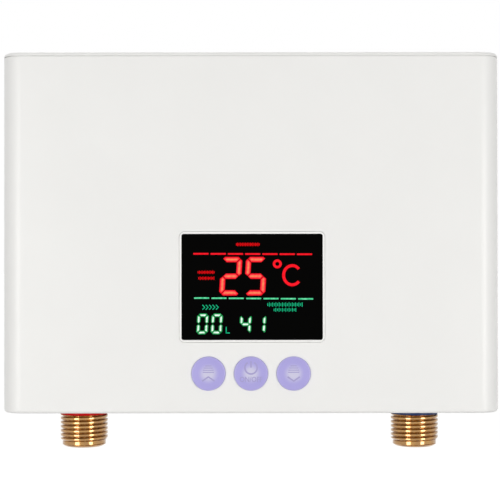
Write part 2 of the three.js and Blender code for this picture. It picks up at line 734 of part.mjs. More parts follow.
// The rib that carries the tank, hollowed to its round, with a hook over the strap's low foot.
function tankCradle(x) {
  const half = STRAP_WIDTH / 2;
  const hookFront = STRAP_FOOT_Y - FIT_GAP - STRAP_THICKNESS;
  const rib = join(
    block([x - half, -CRADLE_SETBACK, TANK_Z - STRAP_REACH], [x + half, -REAR_WALL, TANK_Z + STRAP_REACH]),
    block([x - half, hookFront, HOOK_Z - STRAP_THICKNESS], [x + half, -REAR_WALL, HOOK_Z]),
    block(
      [x - half, hookFront, HOOK_Z - STRAP_THICKNESS],
      [x + half, STRAP_FOOT_Y - FIT_GAP, HOOK_Z + STRAP_THICKNESS],
    ),
    block([x - half, -CRADLE_SETBACK, HOOK_Z - FIT_GAP], [x + half, -REAR_WALL, HOOK_Z + 2 * FIT_GAP]),
  );
  return cut(
    rib,
    barX(TANK_RADIUS + FIT_GAP, x - half - OVERRUN, x + half + OVERRUN, PIPE_Y, TANK_Z, ROUND_SIDES),
    smallScrewHole(STRAP_FOOT_Y, 1, x, STRAP_SCREW_Z),
  );
}

const GROMMET_BACK_Y = -FIT_GAP;
const GROMMET_WEB_BACK_Y = GROMMET_BACK_Y - GROMMET_LIP - FIT_GAP;

function makeRearPlate() {
  const rimInset = CASE_WALL + FIT_GAP;
  const standoffPlaces = [...CONTROL_SCREW_PLACES, ...CONTROL_PIN_PLACES];
  const standoffs = standoffPlaces.map(([x, z]) =>
    barY(STANDOFF_RADIUS, CONTROL_BACK_Y, -REAR_WALL, x, z),
  );
  const pins = CONTROL_PIN_PLACES.map(([x, z]) =>
    barY(LOCATING_PIN_RADIUS, CONTROL_BACK_Y - LOCATING_PIN_HEIGHT, -REAR_WALL, x, z, SCREW_SIDES),
  );
  const plate = join(
    caseSlice(-REAR_WALL, OVERRUN),
    caseRing(rimInset, rimInset + RIM_WALL, -REAR_WALL - RIM_HEIGHT, -REAR_WALL),
    ...standoffs,
    ...pins,
    ...[INLET_X, OUTLET_X].map(connectorTongue),
    ...Object.values(STRAP_PLACES).map(tankCradle),
    ...[-KEYHOLE_X, KEYHOLE_X].map(keyholePad),
  );
  const flangeRadius = GROMMET_LIP_RADIUS + FIT_GAP;
  return cut(
    plate,
    ...[-KEYHOLE_X, KEYHOLE_X].map(keyhole),
    ...CASE_SCREW_PLACES.map(([x, z]) => caseScrewHole(x, z)),
    ...CONTROL_SCREW_PLACES.map(([x, z]) => smallScrewHole(CONTROL_FRONT_Y, 1, x, z)),
    barY(GROMMET_RADIUS, -REAR_WALL - OVERRUN, OVERRUN, GROMMET_X, CABLE_Z, ROUND_SIDES),
    barY(flangeRadius, GROMMET_WEB_BACK_Y, OVERRUN, GROMMET_X, CABLE_Z, ROUND_SIDES),
  );
}

function makeSeal() {
  return caseRing(SEAL_INSET, CASE_WALL, COVER_BACK_Y, -REAR_WALL);
}

// A rubber grommet with a lip on each side of the plate's web.
function makeGrommet() {
  const waist = GROMMET_RADIUS - FIT_GAP;
  const lip = GROMMET_LIP_RADIUS;
  const innerLipBack = -REAR_WALL - FIT_GAP;
  const outline = [
    [0, GROMMET_BACK_Y],
    [lip, GROMMET_BACK_Y],
    [lip, GROMMET_BACK_Y - GROMMET_LIP],
    [waist, GROMMET_BACK_Y - GROMMET_LIP],
    [waist, innerLipBack],
    [lip, innerLipBack],
    [waist, innerLipBack - GROMMET_LIP * 2],
    [0, innerLipBack - GROMMET_LIP * 2],
  ];
  return cut(
    turnedY(outline, GROMMET_X, CABLE_Z, ROUND_SIDES),
    barY(GROMMET_BORE_RADIUS, -REAR_WALL - 2 * OVERRUN, OVERRUN, GROMMET_X, CABLE_Z),
  );
}

// Buttons and switches

const CAP_FRONT_Y = FRONT_Y - BUTTON_PROUD;
const FLANGE_FRONT_Y = INNER_FRONT_Y + FIT_GAP;
const FLANGE_BACK_Y = FLANGE_FRONT_Y + BUTTON_FLANGE_THICKNESS;
const SWITCH_FRONT_Y = BOARD_FRONT_Y - SWITCH_HEIGHT;
const PLUNGER_TOP_Y = SWITCH_FRONT_Y - PLUNGER_PROUD;

function makeButton(x) {
  const outline = [];
  const domeSteps = 4;
  const domeRadius = BUTTON_RADIUS - BUTTON_EDGE;
  for (let step = 0; step <= domeSteps; step += 1) {
    const share = step / domeSteps;
    outline.push([domeRadius * share, CAP_FRONT_Y - BUTTON_DOME * (1 - share * share)]);
  }
  outline.push([BUTTON_RADIUS, CAP_FRONT_Y + BUTTON_EDGE]);
  outline.push([BUTTON_RADIUS, FLANGE_FRONT_Y]);
  outline.push([BUTTON_RADIUS + BUTTON_FLANGE, FLANGE_FRONT_Y]);
  outline.push([BUTTON_RADIUS + BUTTON_FLANGE, FLANGE_BACK_Y]);
  outline.push([BUTTON_STEM_RADIUS, FLANGE_BACK_Y]);
  outline.push([BUTTON_STEM_RADIUS, PLUNGER_TOP_Y]);
  outline.push([0, PLUNGER_TOP_Y]);
  return turnedY(outline, x, BUTTON_Z, ROUND_SIDES);
}

function makeSwitch(x) {
  const half = SWITCH_SIZE / 2;
  return cut(
    block([x - half, SWITCH_FRONT_Y, BUTTON_Z - half], [x + half, BOARD_FRONT_Y, BUTTON_Z + half]),
    barY(
      PLUNGER_RADIUS + FIT_GAP,
      SWITCH_FRONT_Y - OVERRUN,
      SWITCH_FRONT_Y + PLUNGER_SEAT + BUTTON_STROKE,
      x,
      BUTTON_Z,
      SCREW_SIDES,
    ),
  );
}

function makePlunger(x) {
  const foot = SWITCH_FRONT_Y + PLUNGER_SEAT - FIT_GAP;
  return barY(PLUNGER_RADIUS, PLUNGER_TOP_Y, foot, x, BUTTON_Z, SCREW_SIDES);
}

// Boards

// The hole in a board that a locating pin stands in.
function locatingHole(frontY, backY, x, z) {
  return barY(LOCATING_PIN_RADIUS + FIT_GAP, frontY - OVERRUN, backY + OVERRUN, x, z, SCREW_SIDES);
}

function makeDisplayBoard() {
  const half = [DISPLAY_BOARD_WIDTH / 2, DISPLAY_BOARD_HEIGHT / 2];
  const [low, high] = [DISPLAY_BOARD_Z - half[1], DISPLAY_BOARD_Z + half[1]];
  return cut(
    block([-half[0], BOARD_FRONT_Y, low], [half[0], BOARD_BACK_Y, high]),
    ...DISPLAY_SCREW_PLACES.map(([x, z]) => smallScrewHole(BOARD_BACK_Y, -1, x, z)),
    ...DISPLAY_PIN_PLACES.map(([x, z]) => locatingHole(BOARD_FRONT_Y, BOARD_BACK_Y, x, z)),
  );
}

function makeLedDisplay() {
  const front = BOARD_FRONT_Y - LED_DEPTH;
  const body = roundedRect(LED_WIDTH, LED_HEIGHT, LED_FRAME, SCREEN_X, SCREEN_Z);
  const inner = roundedRect(
    LED_WIDTH - 2 * LED_FRAME,
    LED_HEIGHT - 2 * LED_FRAME,
    LED_FRAME,
    SCREEN_X,
    SCREEN_Z,
  );
  return cut(plateXZ(body, front, BOARD_FRONT_Y), plateXZ(inner, front - OVERRUN, front + LED_POCKET));
}

function makeControlBoard() {
  const half = CONTROL_BOARD_WIDTH / 2;
  return cut(
    block([-half, CONTROL_FRONT_Y, CONTROL_BOARD_LOW_Z], [half, CONTROL_BACK_Y, CONTROL_BOARD_TOP_Z]),
    ...CONTROL_SCREW_PLACES.map(([x, z]) => smallScrewHole(CONTROL_FRONT_Y, 1, x, z)),
    ...CONTROL_PIN_PLACES.map(([x, z]) => locatingHole(CONTROL_FRONT_Y, CONTROL_BACK_Y, x, z)),
  );
}

// A moulded block on the control board's front, its front edges chamfered. rise is how far
// its middle is above the board's low edge.
function boardBlock([width, depth, height], x, rise) {
  const z = CONTROL_BOARD_LOW_Z + rise;
  const lowX = x - width / 2;
  const highX = x + width / 2;
  const front = CONTROL_FRONT_Y - depth;
  const shape = outlineShape([
    [lowX, CONTROL_FRONT_Y],
    [lowX, front + PART_CHAMFER],
    [lowX + PART_CHAMFER, front],
    [highX - PART_CHAMFER, front],
    [highX, front + PART_CHAMFER],
    [highX, CONTROL_FRONT_Y],
  ]);
  return plateXY(shape, z - height / 2, z + height / 2);
}

// A small mains transformer: a laminated core with the wound bobbin standing out of it.
function makeTransformer() {
  const [width, depth, height] = TRANSFORMER_SIZE;
  const bobbinSize = [width - 2 * TRANSFORMER_CORE, depth, height];
  const coreSize = [width, depth - TRANSFORMER_CORE, height - 2 * TRANSFORMER_CORE];
  return join(
    boardBlock(coreSize, TRANSFORMER_X, TRANSFORMER_RISE),
    boardBlock(bobbinSize, TRANSFORMER_X, TRANSFORMER_RISE),
  );
}

function makeTerminalBlock() {
  const [width, depth, height] = TERMINAL_BLOCK_SIZE;
  const left = TERMINAL_LEFT_X;
  const low = CABLE_Z - height / 2;
  const front = -REAR_WALL - depth;
  const body = block([left, front, low], [left + width, -REAR_WALL, TERMINAL_TOP_Z]);
  const pitch = width / TERMINAL_COUNT;
  const cuts = [];
  for (let n = 0; n < TERMINAL_COUNT; n += 1) {
    const wellX = left + pitch * (n + 0.5);
    const entry = TERMINAL_ENTRY / 2;
    const entryY = -REAR_WALL - depth / 2;
    cuts.push(barY(TERMINAL_WELL_RADIUS, front - OVERRUN, front + TERMINAL_WELL_DEPTH, wellX, CABLE_Z));
    cuts.push(
      block(
        [wellX - entry, entryY - entry, low - OVERRUN],
        [wellX + entry, entryY + entry, low + entry],
      ),
    );
  }
  return cut(body, ...cuts);
}

// Water connections

// Radius of the outside thread at a height and angle: a right-handed ridge of one pitch a turn.
function threadRadius(height, angle) {
  const turns = height / THREAD_PITCH - angle / (2 * Math.PI);
  const phase = turns - Math.floor(turns);
  return THREAD_RADIUS - THREAD_DEPTH * Math.abs(2 * phase - 1);
}

function makeConnector(x) {
  const step = THREAD_PITCH / THREAD_ROWS_A_TURN;
  const chamferTop = MOUTH_Z + THREAD_CHAMFER;
  const outline = [
    [CONNECTOR_BORE_RADIUS, MOUTH_Z],
    [CONNECTOR_BORE_RADIUS, TAIL_TOP_Z],
    [NECK_RADIUS, TAIL_TOP_Z],
    [NECK_RADIUS, RING_BOTTOM_Z],
  ];
  for (let height = RING_BOTTOM_Z - step; height > chamferTop; height -= step) {
    outline.push([THREAD_RADIUS, height]);
  }
  outline.push([THREAD_RADIUS, chamferTop]);
  outline.push([THREAD_RADIUS - THREAD_DEPTH, MOUTH_Z]);
  const threaded = turnedRing(outline, x, PIPE_Y, THREAD_SIDES, (radius, height, angle) =>
    Math.min(radius, threadRadius(height, angle)),
  );
  const hex = cut(
    hexPrism(HEX_ACROSS_FLATS, HEX_Z, HEX_Z + HEX_HEIGHT, x, PIPE_Y),
    barZ((CONNECTOR_BORE_RADIUS + NECK_RADIUS) / 2, HEX_Z - OVERRUN, HEX_Z + OVERRUN * 2, x, PIPE_Y),
  );
  return join(threaded, hex);
}

function makeRing(x) {
  const outline = [
    [NECK_RADIUS + FIT_GAP, RING_BOTTOM_Z],
    [NECK_RADIUS + FIT_GAP, -HALF_HEIGHT],
    [RING_RADIUS, -HALF_HEIGHT],
    [RING_RADIUS, RING_BOTTOM_Z],
  ];
  return turnedRing(outline, x, PIPE_Y);
}

function makeBacknut(x) {
  return cut(
    hexPrism(HEX_ACROSS_FLATS, BACKNUT_Z, BRACKET_Z, x, PIPE_Y),
    barZ(NECK_RADIUS + FIT_GAP, BACKNUT_Z - OVERRUN, BRACKET_Z + OVERRUN, x, PIPE_Y, ROUND_SIDES),
  );
}

// A steel angle: a shelf that both connectors stand in, with a tab at each end on the plate.
function makeBracket() {
  const [left, right] = [OUTLET_X - BRACKET_END, INLET_X + BRACKET_END];
  const front = PIPE_Y - BRACKET_FRONT;
  const shelfTop = BRACKET_Z + BRACKET_THICKNESS;
  const tabTop = BRACKET_Z + BRACKET_TAB_HEIGHT;
  const angle = outlineShape([
    [front, BRACKET_Z],
    [-REAR_WALL, BRACKET_Z],
    [-REAR_WALL, tabTop],
    [-REAR_WALL - BRACKET_THICKNESS, tabTop],
    [-REAR_WALL - BRACKET_THICKNESS, shelfTop],
    [front, shelfTop],
  ]);
  const opening = block(
    [BRACKET_TAB_LEFT_X, front + BRACKET_BRIDGE, BRACKET_Z - OVERRUN],
    [BRACKET_TAB_RIGHT_X, OVERRUN, tabTop + OVERRUN],
  );
  const holes = [INLET_X, OUTLET_X].map((x) =>
    barZ(NECK_RADIUS + FIT_GAP, BRACKET_Z - OVERRUN, shelfTop + OVERRUN, x, PIPE_Y, ROUND_SIDES),
  );
  return cut(plateYZ(angle, left, right), opening, ...holes);
}

// A thimble strainer in the mouth of the cold connection.
function makeFilter() {
  const low = MOUTH_Z + FILTER_INSET;
  const outer = CONNECTOR_BORE_RADIUS - FIT_GAP;
  const inner = outer - FILTER_WALL;
  const cup = barZ(outer, low, low + FILTER_LENGTH, INLET_X, PIPE_Y);
  return cut(cup, barZ(inner, low - OVERRUN, low + FILTER_LENGTH - FILTER_WALL, INLET_X, PIPE_Y));
}

// Flow sensor

const CHAMBER_LOW_Z = TAIL_TOP_Z + SENSOR_FLOOR;
const CHAMBER_TOP_Z = CHAMBER_LOW_Z + SENSOR_CHAMBER_HEIGHT;
const CHAMBER_MIDDLE_Z = (CHAMBER_LOW_Z + CHAMBER_TOP_Z) / 2;

// A bar across the rotor chamber that carries one end of the shaft.
function sensorSpider(z) {
  const reach = SENSOR_CHAMBER_RADIUS + FIT_GAP;
  const half = SPIDER_WIDTH / 2 + SHAFT_RADIUS;
  return block([INLET_X - reach, PIPE_Y - half, z], [INLET_X + reach, PIPE_Y + half, z + SPIDER_THICKNESS]);
}

function makeSensorBody() {
  const spigot = CONNECTOR_BORE_RADIUS - FIT_GAP;
  const outline = [
    [PIPE_BORE_RADIUS, TAIL_TOP_Z - SPIGOT_LENGTH],
    [PIPE_BORE_RADIUS, CHAMBER_LOW_Z],
    [SENSOR_CHAMBER_RADIUS, CHAMBER_LOW_Z],
    [SENSOR_CHAMBER_RADIUS, CHAMBER_TOP_Z],
    [PIPE_BORE_RADIUS, CHAMBER_TOP_Z],
    [PIPE_BORE_RADIUS, SENSOR_TOP_Z + SOCKET_DEPTH],
    [PIPE_RADIUS, SENSOR_TOP_Z + SOCKET_DEPTH],
    [PIPE_RADIUS, SENSOR_TOP_Z],
    [SENSOR_RADIUS, SENSOR_TOP_Z],
    [SENSOR_RADIUS, TAIL_TOP_Z],
    [spigot, TAIL_TOP_Z],
    [spigot, TAIL_TOP_Z - SPIGOT_LENGTH],
  ];
  const body = turnedRing(outline, INLET_X, PIPE_Y);
  return cut(
    join(body, sensorSpider(CHAMBER_LOW_Z), sensorSpider(CHAMBER_TOP_Z - SPIDER_THICKNESS)),
    barZ(SHAFT_RADIUS + FIT_GAP, CHAMBER_LOW_Z, CHAMBER_TOP_Z, INLET_X, PIPE_Y, SCREW_SIDES),
  );
}

function makeRotor() {
  const low = CHAMBER_MIDDLE_Z - ROTOR_HEIGHT / 2;
  const high = CHAMBER_MIDDLE_Z + ROTOR_HEIGHT / 2;
  const reach = SENSOR_CHAMBER_RADIUS - ROTOR_GAP;
  const half = ROTOR_BLADE_THICKNESS / 2;
  const blades = [];
  for (let n = 0; n < ROTOR_BLADES; n += 1) {
    const blade = block([0, -half, -ROTOR_HEIGHT / 2], [reach, half, ROTOR_HEIGHT / 2]);
    blade.rotateX(Math.PI / 6);
    blade.rotateZ((2 * Math.PI * n) / ROTOR_BLADES);
    blades.push(blade.translate(INLET_X, PIPE_Y, CHAMBER_MIDDLE_Z));
  }
  const hub = barZ(ROTOR_HUB_RADIUS, low, high, INLET_X, PIPE_Y);
  const envelope = barZ(reach, low, high, INLET_X, PIPE_Y, ROUND_SIDES);
  const bore = barZ(SHAFT_RADIUS + FIT_GAP, low - OVERRUN, high + OVERRUN, INLET_X, PIPE_Y, SCREW_SIDES);
  return cut(common(join(hub, ...blades), envelope), bore);
}

function makeShaft() {
  return barZ(
    SHAFT_RADIUS,
    CHAMBER_LOW_Z + FIT_GAP,
    CHAMBER_TOP_Z - FIT_GAP,
    INLET_X,
    PIPE_Y,
    SCREW_SIDES,
  );
}

function makeHallSensor() {
  const [width, depth, height] = HALL_SIZE;
  const back = PIPE_Y - SENSOR_RADIUS - FIT_GAP;
  return block(
    [INLET_X - width / 2, back - depth, CHAMBER_MIDDLE_Z - height / 2],
    [INLET_X + width / 2, back, CHAMBER_MIDDLE_Z + height / 2],
  );
}

// Pipes

const SOCKET_BORE = PIPE_RADIUS + FIT_GAP;
const SOCKET_RADIUS = SOCKET_BORE + SOCKET_WALL;
const PIPE_TOP_Z = TANK_Z - TANK_RADIUS - FIT_GAP * 2;

// The top of a pipe, which pushes over a port of the tank, as the end of a closed outline.
const PIPE_TOP_OUTLINE = [
  [PIPE_BORE_RADIUS, PORT_BOTTOM_Z - FIT_GAP],
  [SOCKET_BORE, PORT_BOTTOM_Z - FIT_GAP],
  [SOCKET_BORE, PIPE_TOP_Z],
  [SOCKET_RADIUS, PIPE_TOP_Z],
  [SOCKET_RADIUS, PORT_BOTTOM_Z - SOCKET_WALL],
  [PIPE_RADIUS, PORT_BOTTOM_Z - 2 * SOCKET_WALL],
];

function makeInletPipe() {
  const low = SENSOR_TOP_Z + FIT_GAP;
  const socketTop = SENSOR_TOP_Z + SOCKET_DEPTH + FIT_GAP;
  const outline = [
    [SOCKET_BORE, low],
    [SOCKET_BORE, socketTop],
    [PIPE_BORE_RADIUS, socketTop],
    ...PIPE_TOP_OUTLINE,
    [PIPE_RADIUS, socketTop + 2 * SOCKET_WALL],
    [SOCKET_RADIUS, socketTop + SOCKET_WALL],
    [SOCKET_RADIUS, low],
  ];
  return turnedRing(outline, INLET_X, PIPE_Y);
}

function makeOutletPipe() {
  const spigot = CONNECTOR_BORE_RADIUS - FIT_GAP;
  const outline = [
    [PIPE_BORE_RADIUS, TAIL_TOP_Z - SPIGOT_LENGTH],
    ...PIPE_TOP_OUTLINE,
    [PIPE_RADIUS, TAIL_TOP_Z + COLLAR_HEIGHT],
    [NECK_RADIUS, TAIL_TOP_Z + COLLAR_HEIGHT],
    [NECK_RADIUS, TAIL_TOP_Z],
    [spigot, TAIL_TOP_Z],
    [spigot, TAIL_TOP_Z - SPIGOT_LENGTH],
  ];
  const pipe = turnedRing(outline, OUTLET_X, PIPE_Y);
  const boss = cut(
    barY(PROBE_BOSS_RADIUS, PROBE_FACE_Y, PIPE_Y, OUTLET_X, PROBE_Z),
    barZ(PIPE_BORE_RADIUS, PROBE_Z - 2 * OVERRUN, PROBE_Z + 2 * OVERRUN, OUTLET_X, PIPE_Y, ROUND_SIDES),
  );
  const hole = barY(PROBE_RADIUS + FIT_GAP, PROBE_FACE_Y - OVERRUN, PIPE_Y, OUTLET_X, PROBE_Z, SCREW_SIDES);
  return cut(join(pipe, boss), hole);
}

function makeTemperatureSensor() {
  return turnedY(
    [
      [0, PROBE_FACE_Y - PROBE_HEAD_HEIGHT],
      [PROBE_HEAD_RADIUS * 0.6, PROBE_FACE_Y - PROBE_HEAD_HEIGHT],
      [PROBE_HEAD_RADIUS, PROBE_FACE_Y - PROBE_HEAD_HEIGHT / 2],
      [PROBE_HEAD_RADIUS, PROBE_FACE_Y],
      [PROBE_RADIUS, PROBE_FACE_Y],
      [PROBE_RADIUS, PIPE_Y - PROBE_RADIUS],
      [0, PIPE_Y],
    ],
    OUTLET_X,
    PROBE_Z,
  );
}

// Heater tank

function makeTank() {
  const ports = [INLET_X, OUTLET_X];
  const portTop = TANK_Z - TANK_RADIUS + TANK_WALL * 2;
  const body = join(
    barX(TANK_RADIUS, -TANK_END_X, TANK_END_X, PIPE_Y, TANK_Z, ROUND_SIDES),
    ...ports.map((x) => barZ(PIPE_RADIUS, PORT_BOTTOM_Z, portTop, x, PIPE_Y)),
  );
  const reach = TANK_END_X + OVERRUN;
  return cut(
    body,
    barX(TANK_RADIUS - TANK_WALL, -reach, reach, PIPE_Y, TANK_Z, ROUND_SIDES),
    ...ports.map((x) => barZ(PIPE_BORE_RADIUS, PORT_BOTTOM_Z - OVERRUN, TANK_Z, x, PIPE_Y)),
  );
}

// An end cap: a plug in the tank's bore with a flange on its end. side is 1 or -1.
function makeCap(side) {
  const plug = TANK_RADIUS - TANK_WALL - FIT_GAP;
  const outline = [
    [0, side * (TANK_END_X - CAP_PLUG)],
    [plug, side * (TANK_END_X - CAP_PLUG)],
    [plug, side * TANK_END_X],
    [TANK_RADIUS + CAP_FLANGE, side * TANK_END_X],
    [TANK_RADIUS + CAP_FLANGE, side * (TANK_END_X + CAP_THICKNESS)],
    [0, side * (TANK_END_X + CAP_THICKNESS)],
  ];
  return turnedX(outline, PIPE_Y, TANK_Z, ROUND_SIDES);
}

const CAP_FACE_X = TANK_END_X + CAP_THICKNESS;
const ELEMENT_END_X = CAP_FACE_X + ELEMENT_STUB;
const ELEMENT_TIP_X = CAP_PLUG + ELEMENT_TIP_ROOM - TANK_END_X;
const ELEMENT_BEND_X = ELEMENT_TIP_X + ELEMENT_RADIUS + ELEMENT_BEND_RADIUS;

function makeRightCap() {
  const holes = [-1, 1].map((level) =>
    barX(
      ELEMENT_RADIUS + FIT_GAP,
      TANK_END_X - CAP_PLUG - OVERRUN,
      CAP_FACE_X + OVERRUN,
      PIPE_Y,
      TANK_Z + level * ELEMENT_BEND_RADIUS,
      SCREW_SIDES,
    ),
  );
  return cut(makeCap(1), ...holes);
}

// A hairpin element: two straight runs joined by a half turn inside the tank.
function makeElement() {
  const reach = ELEMENT_END_X - ELEMENT_BEND_X;
  const points = [];
  const straights = 4;
  for (let n = 0; n < straights; n += 1) {
    const x = ELEMENT_END_X - (reach * n) / straights;
    points.push([x, PIPE_Y, TANK_Z + ELEMENT_BEND_RADIUS]);
  }
  const turns = 6;
  for (let n = 0; n <= turns; n += 1) {
    const angle = Math.PI / 2 + (Math.PI * n) / turns;
    points.push([
      ELEMENT_BEND_X + ELEMENT_BEND_RADIUS * Math.cos(angle),
      PIPE_Y,
      TANK_Z + ELEMENT_BEND_RADIUS * Math.sin(angle),
    ]);
  }
  for (let n = straights - 1; n >= 0; n -= 1) {
    const x = ELEMENT_END_X - (reach * n) / straights;
    points.push([x, PIPE_Y, TANK_Z - ELEMENT_BEND_RADIUS]);
  }
  return swept(roundSection(ELEMENT_RADIUS, SCREW_SIDES), points, 2 * WIRE_STEPS);
}

// A steel strap over the front of the tank, with a foot above and below.
function makeStrap(x) {
  const half = STRAP_WIDTH / 2;
  const inner = TANK_RADIUS + FIT_GAP;
  const shape = new THREE.Shape();
  shape.moveTo(-CRADLE_SETBACK, TANK_Z + STRAP_REACH);
  shape.lineTo(STRAP_FOOT_Y, TANK_Z + STRAP_REACH);
  shape.lineTo(STRAP_FOOT_Y, TANK_Z + STRAP_LEG);
  shape.absarc(PIPE_Y, TANK_Z, STRAP_LEG, Math.PI / 2, 1.5 * Math.PI);
  shape.lineTo(STRAP_FOOT_Y, TANK_Z - STRAP_LEG);
  shape.lineTo(STRAP_FOOT_Y, TANK_Z - STRAP_REACH);
  shape.lineTo(-CRADLE_SETBACK, TANK_Z - STRAP_REACH);
  shape.lineTo(-CRADLE_SETBACK, TANK_Z - inner);
  shape.absarc(PIPE_Y, TANK_Z, inner, 1.5 * Math.PI, Math.PI / 2, true);
  shape.lineTo(-CRADLE_SETBACK, TANK_Z + inner);
  shape.closePath();
  return cut(
    plateYZ(shape, x - half, x + half),
    smallScrewHole(STRAP_FOOT_Y, 1, x, STRAP_SCREW_Z),
  );
}

// A snap-disc cut-out on the hot end of the tank, with a reset pin in its outer face.
function makeCutout() {
  const face = -CAP_FACE_X;
  return cut(
    barX(CUTOUT_RADIUS, face - CUTOUT_HEIGHT, face, PIPE_Y, TANK_Z),
    barX(
      RESET_PIN_RADIUS + FIT_GAP,
      face - CUTOUT_HEIGHT - OVERRUN,
      face - CUTOUT_HEIGHT + RESET_PIN_SEAT,
      PIPE_Y,
      TANK_Z,
      SCREW_SIDES,
    ),
  );
}

function makeResetPin() {
  const face = -CAP_FACE_X - CUTOUT_HEIGHT;
  const seat = face + RESET_PIN_SEAT - FIT_GAP;
  return barX(RESET_PIN_RADIUS, face - RESET_PIN_PROUD, seat, PIPE_Y, TANK_Z, SCREW_SIDES);
}

// Triac

// An aluminium block clamped round the cold pipe, grooved on both sides.
function makeHeatSink() {
  const half = [SINK_WIDTH / 2, SINK_DEPTH / 2];
  const body = block(
    [INLET_X - half[0], PIPE_Y - half[1], SINK_LOW_Z],
    [INLET_X + half[0], PIPE_Y + half[1], SINK_TOP_Z],
  );
  const grooves = [];
  const rows = 4;
  for (let row = 1; row < rows; row += 1) {
    const z = SINK_LOW_Z + ((SINK_TOP_Z - SINK_LOW_Z) * row) / rows;
    for (const side of [-1, 1]) {
      const near = INLET_X + side * (half[0] - SINK_GROOVE);
      const far = INLET_X + side * (half[0] + OVERRUN);
      grooves.push(
        block(
          [Math.min(near, far), PIPE_Y - half[1] + SINK_GROOVE, z - SINK_GROOVE / 2],
          [Math.max(near, far), PIPE_Y + half[1] + OVERRUN, z + SINK_GROOVE / 2],
        ),
      );
    }
  }
  const ends = [SINK_LOW_Z - OVERRUN, SINK_TOP_Z + OVERRUN];
  const bore = barZ(PIPE_RADIUS + FIT_GAP, ...ends, INLET_X, PIPE_Y, ROUND_SIDES);
  return cut(body, bore, ...grooves);
}

const TRIAC_LOW_Z = (SINK_LOW_Z + SINK_TOP_Z - TRIAC_SIZE[2]) / 2;
const LEG_Y = SINK_FRONT_Y - TRIAC_SIZE[1] / 2;

function makeTriac() {
  const [width, depth, height] = TRIAC_SIZE;
  const [legWidth, legDepth, legHeight] = LEG_SIZE;
  const body = block(
    [INLET_X - width / 2, SINK_FRONT_Y - depth, TRIAC_LOW_Z],
    [INLET_X + width / 2, SINK_FRONT_Y, TRIAC_LOW_Z + height],
  );
  const legs = [-1, 0, 1].map((n) => {
    const x = INLET_X + n * LEG_PITCH;
    return block(
      [x - legWidth / 2, LEG_Y - legDepth / 2, TRIAC_LOW_Z - legHeight],
      [x + legWidth / 2, LEG_Y + legDepth / 2, TRIAC_LOW_Z + OVERRUN / 4],
    );
  });
  const hole = barY(
    SMALL_SCREW_RADIUS,
    SINK_FRONT_Y - depth - OVERRUN,
    SINK_FRONT_Y - depth / 2,
    INLET_X,
    TRIAC_LOW_Z + height * 0.75,
    SCREW_SIDES,
  );
  return cut(join(body, ...legs), hole);
}

// Wires

// Each route is a list of chosen points: straight off its terminal, then along the case.
const UPPER_PIN_Z = TANK_Z + ELEMENT_BEND_RADIUS;
const LOWER_PIN_Z = TANK_Z - ELEMENT_BEND_RADIUS;
const LEG_X = INLET_X + LEG_PITCH;
const LEG_TIP_Z = TRIAC_LOW_Z - LEG_SIZE[2];
const WIRE_START_X = ELEMENT_END_X + FIT_GAP;
const LIVE_ENTRY_Y = -REAR_WALL - LIVE_ENTRY_SETBACK;

const LOAD_LEAD_POINTS = [
  [WIRE_START_X, PIPE_Y, UPPER_PIN_Z],
  [98, -30.8, 49.6],
  [99.8, -35, 45],
  [100, -38, 36],
  [100, -40, 20],
  [98.5, -43, 2],
  [94, -44.5, -16],
  [88, -44.5, -27],
  [81.5, -44.5, -30],
  [LEG_X, LEG_Y, -26],
  [LEG_X, LEG_Y, LEG_TIP_Z - FIT_GAP],
];

const LIVE_LEAD_POINTS = [
  [WIRE_START_X, PIPE_Y, LOWER_PIN_Z],
  [98, -29.2, 33.6],
  [99.8, -24, 30],
  [99.4, -15, 24],
  [97.5, -10, 10],
  [96.5, -9, -15],
  [93, -9, -38],
  [82, -9, -47.5],
  [60, -9, -48.8],
  [30, -9, -48.2],
  [4, -9, -47.4],
  [-6, -9.2, -47.6],
  [-9.4, -9.5, -49],
  [TERMINAL_X, LIVE_ENTRY_Y, TERMINAL_TOP_Z + LIVE_STRAIGHT],
  [TERMINAL_X, LIVE_ENTRY_Y, TERMINAL_TOP_Z + FIT_GAP],
];

const EARTH_WIRE_POINTS = [
  [56, -4.4, BRACKET_Z + BRACKET_TAB_HEIGHT + FIT_GAP],
  [56, -4.6, -52],
  [56.5, -6.5, -36],
  [57, -8, -12],
  [57, -8.6, 8],
  [57, -11, 20],
  [57, -15.2, 27.2],
];

const RIBBON_POINTS = [
  [-6, BOARD_BACK_Y + FIT_GAP, -12],
  [-6, -43, -12],
  [-6, -36, -9],
  [-6, -30, -2],
  [-6, -24, 1],
  [-6, -18, 0],
  [-6, CONTROL_FRONT_Y - FIT_GAP, 0],
];

function makeRibbon() {
  const half = [RIBBON_WIDTH / 2, RIBBON_THICKNESS / 2];
  const section = outlineShape([
    [-half[0], -half[1]],
    [half[0], -half[1]],
    [half[0], half[1]],
    [-half[0], half[1]],
  ]);
  return swept(section, RIBBON_POINTS);
}

// Assembly

const heater = new THREE.Group();

function add(name, geometry, color, roughness, metalness = 0) {
  const solid = geometryOf(solidOf(geometry));
  solid.computeVertexNormals();
  const material = new THREE.MeshStandardMaterial({ color, roughness, metalness });
  const mesh = new THREE.Mesh(solid, material);
  mesh.name = name;
  heater.add(mesh);
}

const WHITE = 0xededeb;
const PALE_GREY = 0xd8d9d6;
const BLACK = 0x060606;
const LILAC = 0xc2bfe2;
const BRASS = 0xc08a3a;
const STEEL = 0xb4b7ba;
const COPPER = 0xb8734a;
const ALUMINIUM = 0xc9cccf;
const NATURAL_NYLON = 0xe6e1d2;
const BOARD_GREEN = 0x1d6b3c;
const DARK_PLASTIC = 0x26282b;
const RUBBER = 0x33363a;
const TAPE_YELLOW = 0xd8b23a;
const ELEMENT_GREY = 0x8f8a86;
const LEAD_RED = 0xa02820;
const LEAD_BROWN = 0x6a3a20;
const EARTH_GREEN = 0x9aa82c;
const COLD_BLUE = 0x24407e;
const HOT_RED = 0xa01418;
const PIN_RED = 0xb02020;

